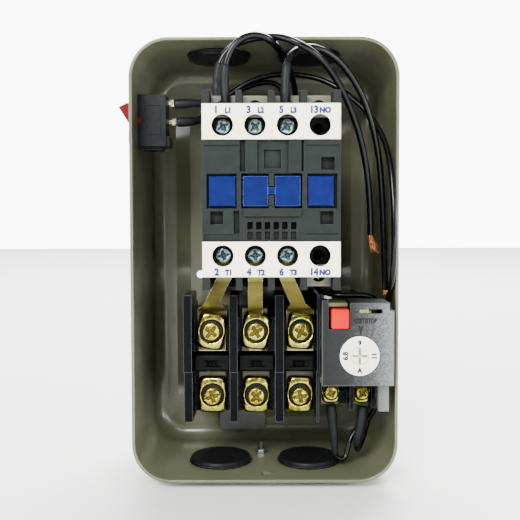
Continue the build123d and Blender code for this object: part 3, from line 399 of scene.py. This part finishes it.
# ------------------------------------------------------------------- wires
ROUTES = {
    "wire_coil_feed": (2.3, "object", 78.9, [
        (-12.6, -76.1, 50.6), (-12.8, -76.1, 55.4), (-13.0, -76.0, 60.4), (-12.9, -75.9, 65.4),
        (-11.4, -75.8, 70.2), (-8.4, -75.6, 73.9), (-4.4, -75.0, 75.8), (-0.6, -74.2, 75.6),
        (2.2, -72.9, 74.4), (4.3, -69.0, 73.4), (6.2, -63.0, 72.2), (8.0, -56.2, 70.4),
        (9.8, -49.2, 68.2), (11.2, -42.6, 65.8), (12.1, -37.2, 63.4), (12.4, -33.6, 61.4)]),
    "wire_line1_tail": (2.3, "bare", 123.5, [
        (-15.6, -68.9, 53.2), (-15.9, -69.0, 58.0), (-16.0, -69.0, 63.0), (-15.2, -69.0, 67.6),
        (-13.0, -68.8, 71.6), (-9.2, -68.5, 74.6), (-4.2, -68.5, 76.2), (1.0, -69.0, 76.6),
        (5.8, -71.2, 76.0), (9.9, -73.6, 74.0), (14.4, -73.8, 71.6), (18.4, -72.0, 69.0),
        (22.4, -68.9, 65.2), (26.6, -65.0, 60.0), (30.6, -61.2, 52.6), (34.2, -57.8, 43.8),
        (36.9, -54.6, 32.6), (38.2, -52.2, 22.6), (38.8, -50.4, 14.8), (38.9, -50.0, 9.6)]),
    "wire_line3_tail": (2.3, "bare", 129.2, [
        (6.8, -76.1, 50.6), (6.8, -76.1, 55.4), (6.9, -76.0, 60.4), (7.2, -75.6, 65.4),
        (8.5, -73.9, 69.2), (11.4, -70.8, 72.0), (15.2, -67.4, 73.7), (19.4, -64.8, 73.5),
        (23.5, -62.6, 71.8), (27.2, -60.6, 69.2), (30.9, -58.2, 65.2), (34.4, -55.9, 60.2),
        (37.2, -54.2, 54.0), (39.9, -52.5, 46.2), (42.0, -50.8, 36.0), (43.1, -49.6, 24.8),
        (43.6, -49.2, 13.4), (43.9, -49.8, 2.2), (44.1, -51.0, -10.4)]),
    "wire_switch_loop": (2.0, "object", 249.6, [
        (-33.3, -42.5, 58.5), (-28.2, -42.3, 58.7), (-22.0, -40.6, 59.2), (-17.0, -38.4, 60.6),
        (-12.0, -37.2, 63.6), (-6.4, -37.0, 67.4), (0.2, -37.1, 69.8), (7.0, -37.4, 70.6),
        (13.0, -38.0, 70.1), (19.0, -39.0, 69.0), (24.6, -40.5, 66.6), (29.4, -42.4, 63.3),
        (33.2, -44.6, 59.8), (36.8, -46.8, 56.0), (39.8, -48.8, 51.8), (42.2, -51.4, 46.8),
        (44.0, -54.8, 40.8), (44.9, -58.8, 31.6), (45.2, -61.8, 20.8), (45.2, -63.4, 8.6),
        (45.1, -62.8, -1.0), (45.0, -60.0, -7.8), (44.8, -55.6, -12.1), (44.7, -50.3, -15.4),
        (44.5, -47.6, -20.8), (44.5, -45.6, -28.4), (44.4, -44.4, -37.6), (44.1, -43.4, -47.4),
        (42.6, -42.2, -55.2), (40.0, -40.6, -60.4), (36.9, -40.2, -63.4), (34.4, -40.9, -65.6),
        (32.5, -42.0, -68.4), (31.6, -42.6, -71.6), (30.9, -43.2, -74.4), (29.6, -43.6, -75.3),
        (28.0, -43.9, -75.2), (26.9, -44.1, -74.1), (26.5, -44.2, -71.3), (26.2, -44.3, -66.6),
        (25.6, -44.5, -61.0), (24.9, -44.6, -54.6)]),
    "wire_switch_coil": (2.0, "object", 51.8, [
        (-32.4, -42.5, 51.8), (-28.2, -42.3, 52.0), (-24.4, -40.6, 52.6), (-22.2, -37.0, 55.4),
        (-19.0, -34.3, 59.0), (-14.2, -33.5, 62.4), (-8.6, -33.4, 65.6), (-2.8, -33.4, 67.8),
        (2.4, -33.2, 68.4), (5.9, -32.8, 67.2), (7.3, -32.4, 64.6), (7.2, -32.0, 61.8)]),
    "wire_aux_link": (2.0, "object", 123.9, [
        (37.1, -44.8, -54.8), (36.8, -45.2, -58.6), (35.9, -45.5, -63.6), (34.9, -45.4, -68.2),
        (34.9, -42.6, -72.2), (36.4, -38.0, -73.2), (38.8, -34.4, -69.2), (41.4, -33.0, -60.6),
        (42.7, -33.2, -49.6), (43.0, -34.6, -39.8), (43.1, -37.2, -31.0), (43.3, -41.0, -24.2),
        (43.2, -44.2, -18.8), (42.0, -46.0, -14.7), (38.8, -46.7, -12.9), (34.4, -47.0, -12.6),
        (29.4, -47.5, -12.7), (25.0, -49.0, -12.3), (21.4, -52.6, -11.0), (18.9, -57.4, -9.3),
        (17.8, -62.0, -7.6), (17.7, -65.8, -5.8)]),
}


def route_curve(name, points, radius):
    data = bpy.data.curves.new(name, "CURVE")
    data.dimensions = "3D"
    data.resolution_u = 10
    data.bevel_depth = 1.0  # times each point's own radius, which also sets how far the curve's box reaches
    data.bevel_resolution = 6
    data.use_fill_caps = True
    spline = data.splines.new("NURBS")
    spline.points.add(len(points) - 1)
    for target, point in zip(spline.points, points):
        target.co = (*mm(*point), 1)
        target.radius = radius * MM
    spline.order_u = 3
    spline.use_endpoint_u = True
    piece = bpy.data.objects.new(name, data)
    scene.collection.objects.link(piece)
    return piece


def centreline(curve):
    """Points along a curve's own line."""
    depth, caps = curve.data.bevel_depth, curve.data.use_fill_caps
    curve.data.bevel_depth = 0
    bpy.context.view_layer.update()
    mesh = bpy.data.meshes.new_from_object(curve)
    line = [v.co.copy() for v in mesh.vertices]
    bpy.data.meshes.remove(mesh)
    curve.data.bevel_depth, curve.data.use_fill_caps = depth, caps
    return line


def tube_on(line, start, length, profile, name, steps=26, sides=20):
    """Mesh tube over part of a line. profile gives (share of the length, radius in mm) pairs."""
    lengths = [0.0]
    for a, b in zip(line, line[1:]):
        lengths.append(lengths[-1] + (b - a).length)

    def at(distance):
        for k in range(1, len(line)):
            if lengths[k] >= distance:
                span = max(lengths[k] - lengths[k - 1], 1e-12)
                return line[k - 1].lerp(line[k], (distance - lengths[k - 1]) / span)
        return line[-1].copy()

    def radius_at(share):
        for (s0, r0), (s1, r1) in zip(profile, profile[1:]):
            if share <= s1:
                t = (share - s0) / max(s1 - s0, 1e-9)
                t = t * t * (3 - 2 * t)
                return r0 + (r1 - r0) * t
        return profile[-1][1]

    bm = bmesh.new()
    rings = []
    side = None
    for k in range(steps + 1):
        share = k / steps
        here = at(start + share * length)
        middle = start + share * length
        ahead = (at(middle + 0.0004) - at(max(0, middle - 0.0004))).normalized()
        if side is None:
            side = ahead.orthogonal().normalized()
        side = (side - ahead * side.dot(ahead)).normalized()
        other = ahead.cross(side)
        r = radius_at(share) * MM
        ring = []
        for j in range(sides):
            a = 2 * math.pi * j / sides
            ring.append(bm.verts.new(here + (side * math.cos(a) + other * math.sin(a)) * r))
        rings.append(ring)
    for lower, upper in zip(rings, rings[1:]):
        for j in range(sides):
            bm.faces.new((lower[j], lower[(j + 1) % sides], upper[(j + 1) % sides], upper[j]))
    for ring in (rings[0], rings[-1]):
        bm.faces.new(ring)
    return finished(bm, name)


lines = {}
for wire_name, (diameter, far, length, points) in ROUTES.items():
    curve = route_curve("flex_" + wire_name[5:], points, diameter / 2)
    curve.data.materials.append(INSULATION)
    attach(curve, "case")
    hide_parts(wire_name)
    lines[wire_name] = centreline(curve)

# sleeve name, wire, from the wire's end, start mm, length mm, profile of share and radius
SLEEVES = [
    ("sleeve_coil_feed", "wire_coil_feed", False, 0.2, 15.0,
     [(0, 1.35), (0.14, 1.36), (0.2, 1.5), (0.55, 1.42), (0.93, 1.5), (1, 1.22)]),
    ("sleeve_line1", "wire_line1_tail", False, 1.0, 13.5,
     [(0, 1.4), (0.25, 1.62), (0.4, 1.75), (0.52, 1.35), (0.62, 1.6), (0.78, 1.5), (0.94, 1.42), (1, 1.2)]),
    ("sleeve_line3", "wire_line3_tail", False, 0.2, 15.5,
     [(0, 1.5), (0.16, 1.46), (0.22, 1.62), (0.36, 1.7), (0.5, 1.45), (0.93, 1.5), (1, 1.22)]),
    ("sleeve_switch_upper", "wire_switch_loop", False, 0.0, 13.6,
     [(0, 1.62), (0.1, 1.75), (0.42, 1.72), (0.56, 1.46), (0.95, 1.4), (1, 1.1)]),
    ("sleeve_switch_lower", "wire_switch_coil", False, 0.0, 11.0,
     [(0, 1.66), (0.1, 1.82), (0.44, 1.75), (0.6, 1.5), (0.95, 1.42), (1, 1.1)]),
    ("sleeve_aux_right", "wire_aux_link", False, 0.0, 15.4,
     [(0, 1.9), (0.1, 2.1), (0.4, 2.02), (0.6, 1.8), (0.92, 1.62), (1, 1.3)]),
    ("sleeve_aux_left", "wire_switch_loop", True, 0.0, 19.0,
     [(0, 1.95), (0.05, 2.05), (0.25, 2.02), (0.28, 1.78), (0.55, 1.66), (0.8, 1.4), (0.96, 1.2), (1, 1.06)]),
]
sleeves = {}
for name, wire_name, from_end, start, length, profile in SLEEVES:
    line = lines[wire_name][::-1] if from_end else lines[wire_name]
    mesh = tube_on(line, start * MM, length * MM, profile, name)
    sleeves.setdefault(wire_name, []).append(
        add(name, mesh, SLEEVE, replaced=["heat_shrink_sleeves"]))


# ---------------------------------------------------------- copper strands
def strand_bundle(name, wire_name, count, length, fan, sag, seed, replaced):
    """Fine copper strands that leave a stripped end, fan out and curl."""
    rng = random.Random(seed)
    line = lines[wire_name]
    root = line[-1]
    ahead = (line[-1] - line[-3]).normalized()
    side = ahead.orthogonal().normalized()
    other = ahead.cross(side)
    bm = bmesh.new()
    for k in range(count):
        a = rng.uniform(0, 2 * math.pi)
        r = 0.85 * math.sqrt(rng.random())
        spread = rng.uniform(0.2, 1.0) * fan
        reach = length * rng.uniform(0.62, 1.0)
        curl = rng.uniform(-0.6, 1.0) * fan * 0.8
        spin = rng.uniform(0.3, 1.3)
        steps, sides, radius = 12, 5, 0.13 * MM
        rings = []
        for s in range(steps + 1):
            t = s / steps
            angle = a + spin * t
            out = (r + spread * t * t) * MM
            centre = (root - ahead * 0.6 * MM + ahead * reach * t * MM
                      + (side * math.cos(angle) + other * math.sin(angle)) * out
                      + Vector((sag[0] + curl * 0.35, sag[1], sag[2])) * (t * t * MM))
            ring = []
            for j in range(sides):
                b = 2 * math.pi * j / sides
                ring.append(bm.verts.new(centre + (side * math.cos(b) + other * math.sin(b)) * radius))
            rings.append(ring)
        for lower, upper in zip(rings, rings[1:]):
            for j in range(sides):
                bm.faces.new((lower[j], lower[(j + 1) % sides], upper[(j + 1) % sides], upper[j]))
        bm.faces.new(rings[0])
        bm.faces.new(rings[-1])
    return add(name, finished(bm, name), COPPER, replaced=[replaced])


strands1 = strand_bundle("strands_line1", "wire_line1_tail", 30, 8.6, 1.5, (1.6, 0.0, 0.8), 4,
                         "copper_strands_line1")
strands3 = strand_bundle("strands_line3", "wire_line3_tail", 20, 3.2, 0.25, (0.1, 0.0, 0.0), 9,
                         "copper_strands_line3")


# ------------------------------------------------------------------ screws
def smoothstep(low, high, value):
    t = min(1.0, max(0.0, (value - low) / (high - low)))
    return t * t * (3 - 2 * t)


def recess(x, z, cross, slot):
    """Depth of the drive recess at a point of a screw's face, as a share of the full depth."""
    reach, half = cross
    ends = smoothstep(reach, reach - 0.5, abs(x)) * smoothstep(half, half - 0.28, abs(z))
    sides = smoothstep(reach, reach - 0.5, abs(z)) * smoothstep(half, half - 0.28, abs(x))
    core = smoothstep(1.3, 0.3, math.hypot(x, z))
    across = smoothstep(slot[0], slot[0] - 0.2, abs(z)) * smoothstep(slot[1], slot[1] - 0.3, abs(x))
    return max(ends * 0.8, sides * 0.8, core, across * 0.5)


def screw_head(bm, centre, r, height, angle, cross=(2.5, 0.72), depth=1.3, slot=(0.4, 3.0)):
    """Domed head that faces -Y, with a cross recess and a slot across it. centre is on its seat."""
    x0, y0, z0 = centre
    rings, spokes = 26, 72
    ca, sa = math.cos(angle), math.sin(angle)

    def face_height(x, z):
        d = math.hypot(x, z)
        dome = height * (1 - 0.2 * (d / r) ** 2)
        dome -= 0.5 * height * smoothstep(r * 0.9, r, d) ** 2
        u, v = x * ca + z * sa, -x * sa + z * ca
        return dome - depth * recess(u, v, cross, slot)

    previous = [bm.verts.new(mm(x0, y0 - face_height(0, 0), z0))]
    for k in range(1, rings + 1):
        rr = r * k / rings
        ring = []
        for j in range(spokes):
            a = 2 * math.pi * j / spokes
            x, z = rr * math.cos(a), rr * math.sin(a)
            ring.append(bm.verts.new(mm(x0 + x, y0 - face_height(x, z), z0 + z)))
        for j in range(spokes):
            nxt = (j + 1) % spokes
            if k == 1:
                face = bm.faces.new((previous[0], ring[j], ring[nxt]))
            else:
                face = bm.faces.new((previous[j], ring[j], ring[nxt], previous[nxt]))
            a = 2 * math.pi * (j + 0.5) / spokes
            x, z = (rr - 0.5 * r / rings) * math.cos(a), (rr - 0.5 * r / rings) * math.sin(a)
            # faces deep in the recess take the painted shade material
            face.material_index = int(recess(x * ca + z * sa, -x * sa + z * ca, cross, slot) > 0.42)
        previous = ring
    base = [bm.verts.new(Vector((v.co.x, y0 * MM, v.co.z))) for v in previous]
    for j in range(spokes):
        nxt = (j + 1) % spokes
        bm.faces.new((previous[j], base[j], base[nxt], previous[nxt]))
    bm.faces.new(base[::-1])


def lathe(bm, centre, profile, axis="y", spokes=40, wave=None):
    """Closed turned shape. profile is (radius, distance along the axis) pairs, from the axis to the axis."""
    rings = []
    for k, (r, d) in enumerate(profile):
        if r < 1e-6:
            x, y, z = centre
            place = {"y": (x, y + d, z), "z": (x, y, z + d), "x": (x + d, y, z)}[axis]
            rings.append([bm.verts.new(mm(*place))])
            continue
        ring = []
        for j in range(spokes):
            a = 2 * math.pi * j / spokes
            rr = r * (1 + (wave(k, j) if wave else 0))
            u, v = rr * math.cos(a), rr * math.sin(a)
            x, y, z = centre
            place = {"y": (x + u, y + d, z + v), "z": (x + u, y + v, z + d), "x": (x + d, y + u, z + v)}[axis]
            ring.append(bm.verts.new(mm(*place)))
        rings.append(ring)
    for lower, upper in zip(rings, rings[1:]):
        if len(lower) == 1 and len(upper) == 1:
            continue
        for j in range(spokes):
            nxt = (j + 1) % spokes
            if len(lower) == 1:
                bm.faces.new((lower[0], upper[j], upper[nxt]))
            elif len(upper) == 1:
                bm.faces.new((lower[j], upper[0], lower[nxt]))
            else:
                bm.faces.new((lower[j], upper[j], upper[nxt], lower[nxt]))


def thread(bm, centre, r, start, end, pitch=0.7):
    """Threaded shank along Y as a row of close V grooves."""
    profile = [(0, start)]
    count = max(2, int(abs(end - start) / pitch))
    for k in range(count + 1):
        d = start + (end - start) * k / count
        profile.append((r, d))
        if k < count:
            profile.append((r * 0.86, d + (end - start) * 0.5 / count))
    profile += [(r * 0.7, end), (0, end)]
    lathe(bm, centre, profile, spokes=24)


def square_washer(bm, x, z, y, half_x, low, high, thick):
    """Captive square washer with softened corners and a shallow dish, in the third material, a painted shade.
    """
    segments = []
    corner = 0.7
    for cx, cz, a0 in ((half_x - corner, high - corner, 0), (-half_x + corner, high - corner, 90),
                       (-half_x + corner, low + corner, 180), (half_x - corner, low + corner, 270)):
        for k in range(5):
            a = math.radians(a0 + 22.5 * k)
            segments.append((cx + corner * math.cos(a), cz + corner * math.sin(a)))
    rings = []
    for depth, shrink in ((0, 1.0), (-thick + 0.15, 1.0), (-thick, 0.95), (-thick + 0.12, 0.72)):
        rings.append([bm.verts.new(mm(x + u * shrink, y + depth, z + v * shrink)) for u, v in segments])
    faces = [bm.faces.new(rings[0][::-1]), bm.faces.new(rings[-1])]
    for lower, upper in zip(rings, rings[1:]):
        for j in range(len(segments)):
            nxt = (j + 1) % len(segments)
            faces.append(bm.faces.new((lower[j], lower[nxt], upper[nxt], upper[j])))
    for face in faces:
        face.material_index = 2


KX, KZ = 2.2, 24.4
MAIN_POLES = [KX + pitch for pitch in POLE_PITCHES[:3]]
bm = bmesh.new()
angles = iter((0.5, 0.2, 0.75, 0.1, 0.6, 0.35))
for pole in MAIN_POLES:
    for side in (1, -1):
        z = KZ + SCREW_ROW * side
        screw_head(bm, (pole, -74.6, z), 2.6, 2.2, next(angles), cross=(1.9, 0.55), depth=1.1,
                   slot=(0.34, 2.3))
        thread(bm, (pole, 0, z), 1.6, -74.5, -64.2)
        square_washer(bm, pole, z, -73.9, 3.6, -2.5, 2.7, 0.8)
add("terminal_screws", finished(bm, "terminal_screws"), [ZINC, ZINC_RECESS_SHADE, SHADE],
    replaced=["main_terminal_screws"])

RELAY_POLES = (-19.5, -3.1, 13.3)
bm = bmesh.new()
angles = iter((0.9, 0.5, 1.1, 0.3, 0.8, 0.15))
for z, seat, tip in ((-25.6, -50.5, -37.7), (-50.6, -45.3, -35.8)):
    for pole in RELAY_POLES:
        screw_head(bm, (pole, seat, z), 3.25, 2.6, next(angles))
        thread(bm, (pole, 0, z), 1.85, seat + 0.1, tip)
add("clamp_screws", finished(bm, "clamp_screws"), [SCREW_GOLD, GOLD_RECESS_SHADE],
    replaced=["saddle_screws"])

bm = bmesh.new()
for pole, angle in ((24.8, 0.4), (36.4, 0.9)):
    screw_head(bm, (pole, -46.3, -49.2), 2.45, 2.1, angle, cross=(1.8, 0.55), depth=0.9, slot=(0.34, 2.1))
    thread(bm, (pole, 0, -49.2), 1.45, -46.2, -36.2)
add("aux_screws", finished(bm, "aux_screws"), [SCREW_GOLD, GOLD_RECESS_SHADE],
    replaced=["aux_terminal_screws"])


# ------------------------------------------------------------ clamp saddles
def saddle_plate(bm, x0, z0, back, width, height, turn, dish):
    """Pressed clamp plate: rounded square, rolled edges, cupped where the screw sits.

    The faces inside the cup take the second material, a painted shade.
    """
    half_w, half_h, corner = width / 2, height / 2, 2.0
    nu, nv = 34, 40
    ct, st = math.cos(math.radians(turn)), math.sin(math.radians(turn))

    def inside(u, v):
        """Squeeze the square grid into a rounded rectangle."""
        x, z = u * half_w, v * half_h
        ax, az = abs(x) - (half_w - corner), abs(z) - (half_h - corner)
        if ax > 0 and az > 0:
            d = math.hypot(ax, az)
            k = max(ax, az) / d
            x = math.copysign(half_w - corner + ax * k, x)
            z = math.copysign(half_h - corner + az * k, z)
        return x, z

    def front(x, z):
        edge = ((x / half_w) ** 4 + (z / half_h) ** 4) ** 0.25
        crown = 2.25 - 0.6 * edge ** 3 - 0.6 * smoothstep(0.88, 1.06, edge)
        wave = 0.14 * math.cos(2 * math.atan2(z, x) + 0.2 * turn)
        return crown + wave - 0.95 * smoothstep(dish + 0.35, dish - 0.1, math.hypot(x, z))

    grid = {}
    for layer in (0, 1):
        for i in range(nu + 1):
            for j in range(nv + 1):
                x, z = inside(2 * i / nu - 1, 2 * j / nv - 1)
                y = front(x, z) - (0.7 if layer else 0.0)
                px, pz = x * ct + z * st, -x * st + z * ct
                grid[layer, i, j] = bm.verts.new(mm(x0 + px, back - max(y, 0.02), z0 + pz))
    for layer in (0, 1):
        for i in range(nu):
            for j in range(nv):
                cell = ((i, j), (i + 1, j), (i + 1, j + 1), (i, j + 1))
                face = bm.faces.new([grid[layer, *c] for c in cell])
                x, z = inside(2 * (i + 0.5) / nu - 1, 2 * (j + 0.5) / nv - 1)
                face.material_index = 1 if math.hypot(x, z) < dish else 0
    rim = ([(i, 0) for i in range(nu)] + [(nu, j) for j in range(nv)]
           + [(i, nv) for i in range(nu, 0, -1)] + [(0, j) for j in range(nv, 0, -1)])
    for a, b in zip(rim, rim[1:] + rim[:1]):
        bm.faces.new((grid[0, *a], grid[0, *b], grid[1, *b], grid[1, *a]))


bm = bmesh.new()
for pole, width, turn in zip(RELAY_POLES, (10.4, 10.4, 10.0), (9.0, 8.0, 6.0)):
    saddle_plate(bm, pole, -25.6, -48.9, width, 13.2, turn, 4.15)
for pole, width, turn in zip(RELAY_POLES, (10.6, 10.2, 10.0), (0.0, 2.0, 2.0)):
    saddle_plate(bm, pole, -50.3, -43.7, width, 13.6, turn, 4.15)
add("clamp_saddles", finished(bm, "clamp_saddles"), [YELLOW_ZINC, SHADE],
    replaced=["saddle_clamps"])
bm = bmesh.new()
for pole in (24.8, 36.4):
    saddle_plate(bm, pole, -49.2, -44.0, 6.2, 8.6, 0.0, 2.85)
add("aux_saddles", finished(bm, "aux_saddles"), [YELLOW_ZINC, SHADE],
    replaced=["aux_clamps"])


# ----------------------------------------------------------------- springs
def spring(name, x, z, start, end, radius, wire, turns, replaced):
    """Coil spring along Y, from start to end."""
    sides, steps = 8, 24 * turns
    bm = bmesh.new()
    rings = []
    for k in range(steps + 1):
        share = k / steps
        turn = 2 * math.pi * turns * share
        out = Vector((math.cos(turn), 0, math.sin(turn)))
        centre = mm(x, start + (end - start) * share, z) + out * radius * MM
        ring = []
        for j in range(sides):
            a = 2 * math.pi * j / sides
            ring.append(bm.verts.new(centre + (out * math.cos(a) + Vector((0, math.sin(a), 0))) * wire * MM))
        rings.append(ring)
    for lower, upper in zip(rings, rings[1:]):
        for j in range(sides):
            bm.faces.new((lower[j], lower[(j + 1) % sides], upper[(j + 1) % sides], upper[j]))
    bm.faces.new(rings[0])
    bm.faces.new(rings[-1][::-1])
    piece = add(name, finished(bm, name), SPRING, replaced=[replaced])
    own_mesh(piece)


spring("return_coil", KX, KZ, -28.6, -35.4, 9.6, 0.3, 3, "return_spring")
spring("reset_coil", 26.1, -19.2, -51.9, -59.5, 2.2, 0.25, 6, "reset_spring")

# ---------------------------------------------------------------- grommets
RIBBED = (8, 11)


def grommet(name, x, side):
    """Rubber knock-out plug with a ribbed flange and a stepped membrane."""
    wall = side * (CASE_HALF_HEIGHT - SHEET)

    def ribs(k, j):
        return -0.018 if RIBBED[0] <= k <= RIBBED[1] and j % 4 < 2 else 0.0

    profile = [(0, 1.6), (8.0, 1.6), (8.3, 2.6), (11.2, 2.6), (11.5, 2.2), (11.5, 1.2), (9.9, 1.2),
               (9.9, 0.0), (11.7, -0.02), (12.0, -0.25), (12.0, -0.7), (11.75, -0.95), (11.4, -1.0),
               (11.35, -1.9),
               (11.1, -2.15), (10.6, -2.2), (7.0, -2.12), (3.0, -2.08), (0, -2.05)]
    bm = bmesh.new()
    lathe(bm, (x, -37.0, wall), [(r, d * side) for r, d in profile], axis="z", spokes=96, wave=ribs)
    add(name + "_plug", finished(bm, name), RUBBER, replaced=[name])


for wall_name, side in (("top", 1), ("bottom", -1)):
    grommet(f"grommet_{wall_name}_left", -17.0, side)
    grommet(f"grommet_{wall_name}_right", 17.0, side)


# ------------------------------------------------------------------- print
def lettering(name, words, x, z, y, size, finish, body="case", squeeze=1.0, raised=0.02, bold=0.19, turn=0.0):
    """Printed or moulded characters on a face that looks towards -Y. x and z are their centre."""
    data = bpy.data.curves.new(name, "FONT")
    data.body = words
    data.size = size * MM
    data.offset = bold * MM
    data.align_x = "CENTER"
    data.align_y = "CENTER"
    data.extrude = raised * MM
    data.resolution_u = 3
    data.materials.append(finish)
    piece = bpy.data.objects.new(name, data)
    piece.location = mm(x, y, z)
    piece.rotation_euler = (math.radians(90), math.radians(turn), 0)
    piece.scale = (squeeze, 1, 1)
    scene.collection.objects.link(piece)
    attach(piece, body)
    return piece


FACE = -81.02
for row, z, words in (("top", KZ + 25.9, (("1", "L1"), ("3", "L2"), ("5", "L3"), ("13", "NO"))),
                      ("bottom", KZ - 26.5, (("2", "T1"), ("4", "T2"), ("6", "T3"), ("14", "NO")))):
    for k, (number, code) in enumerate(words):
        pole = KX + POLE_PITCHES[k]
        last = k == 3
        lettering(f"print_{row}_number_{k}", number, pole - 2.0, z, FACE, 3.1, INK, squeeze=0.92)
        lettering(f"print_{row}_code_{k}", code, pole + (1.6 if last else 1.9), z - 0.15, FACE, 2.4, INK,
                  squeeze=0.95 if last else 0.85)
lettering("print_reset", "RESET/STOP", 34.7, -20.0, DIAL_FACE, 2.35, BLACK_INK, squeeze=0.66, bold=0.13)
lettering("print_pointer", "V", 33.3, -23.2, DIAL_FACE, 3.6, BLACK_INK, squeeze=0.62, bold=0.24)
DIAL = (33.0, -32.2)
for words, x, z, turn in (("9", 0, 4.5, 0), ("6.8", -4.9, 0, -90), ("11", 4.9, 0, 90), ("A", 0, -5.2, 0)):
    lettering("dial_mark_" + words.replace(".", "_"), words, DIAL[0] + x, DIAL[1] + z, DIAL_FACE, 2.4,
              BLACK_INK, body="dial", turn=turn, bold=0.13)
for k, (number, centre) in enumerate((("2T1", -19.4), ("4T2", -3.0), ("6T3", 12.7))):
    lettering(f"moulded_mark_{k}", number, centre, -37.7, -50.05, 2.8, MOULDED, raised=0.12)


def flat_patch(bm, outline, y):
    bm.faces.new([bm.verts.new(mm(x, y, z)) for x, z in outline])


def flat_ring(bm, x, z, y, inner, outer, spokes=72):
    around = [2 * math.pi * k / spokes for k in range(spokes)]
    rings = [[bm.verts.new(mm(x + r * math.cos(a), y, z + r * math.sin(a))) for a in around]
             for r in (inner, outer)]
    for k in range(spokes):
        nxt = (k + 1) % spokes
        bm.faces.new((rings[0][k], rings[0][nxt], rings[1][nxt], rings[1][k]))


bm = bmesh.new()
flat_ring(bm, DIAL[0], DIAL[1], -66.03, 2.9, 3.02)
for turn, near, far, width in ((0, 0.5, 2.7, 0.42), (90, 0.7, 2.5, 0.32),
                               (180, 0.5, 2.8, 0.42), (270, 0.7, 2.4, 0.22)):
    t = math.radians(turn)
    corners = [(-width, near), (width, near), (width * 0.8, far), (-width * 0.8, far)]
    flat_patch(bm, [(DIAL[0] + u * math.cos(t) + v * math.sin(t), DIAL[1] - u * math.sin(t) + v * math.cos(t))
                    for u, v in corners], -66.03)
add("dial_scale", finished(bm, "dial_scale"), MARK, body="dial", smooth=False)
# painted shade: a thin dark ring on the housing round the dial, where the gap between them lies
bm = bmesh.new()
flat_ring(bm, DIAL[0], DIAL[1], DIAL_FACE, 6.9, 7.16)
add("dial_gap_shade", finished(bm, "dial_gap_shade"), BLACK_INK, smooth=False)


# -------------------------------------------------------- floor and lights
bpy.ops.mesh.primitive_plane_add(size=6, location=(0, 0, FLOOR_Z))
floor = bpy.context.object
floor.name = "floor"
floor.data.materials.append(FLOOR)


def area_light(name, place, target, size, power, colour=(1, 1, 1)):
    data = bpy.data.lights.new(name, "AREA")
    data.shape = "RECTANGLE"
    data.size, data.size_y = size
    data.energy = power
    data.color = colour
    light = bpy.data.objects.new(name, data)
    light.location = Vector(place)
    light.rotation_euler = (Vector(target) - Vector(place)).to_track_quat("-Z", "Y").to_euler()
    scene.collection.objects.link(light)


area_light("key", (-0.35, -1.05, 0.62), (0, -0.04, 0), (0.5, 0.36), 29.0)
area_light("left", (-1.0, -0.75, 0.12), (0, -0.04, 0), (0.3, 0.6), 9.0)
area_light("right", (1.0, -0.85, 0.2), (0, -0.04, 0), (0.4, 0.6), 14.0)
area_light("low", (0.45, -1.15, 0.0), (0, -0.02, -0.06), (0.4, 0.14), 3.5)
area_light("far", (0, 2.2, 1.3), (0, 1.9, -0.08), (2.6, 1.6), 90.0)
area_light("back", (0.15, 0.75, 1.15), (0, 0.3, -0.08), (0.9, 0.7), 56.0)
world = bpy.data.worlds.new("studio")
world.use_nodes = True
sky = world.node_tree
direction = sky.nodes.new("ShaderNodeTexCoord")
split = sky.nodes.new("ShaderNodeSeparateXYZ")
link(sky, direction.outputs["Generated"], split.inputs["Vector"])
backdrop = map_range(sky, split.outputs["Y"], 0.0, 9.0, 0.72, 0.88)
room = map_range(sky, split.outputs["Y"], 0.12, 0.85, -0.95, -0.78)
total = sky.nodes.new("ShaderNodeMath")
link(sky, backdrop, total.inputs[0])
link(sky, room, total.inputs[1])
sky.nodes["Background"].inputs["Color"].default_value = (1, 1, 1, 1)
link(sky, total.outputs["Value"], sky.nodes["Background"].inputs["Strength"])
scene.world = world
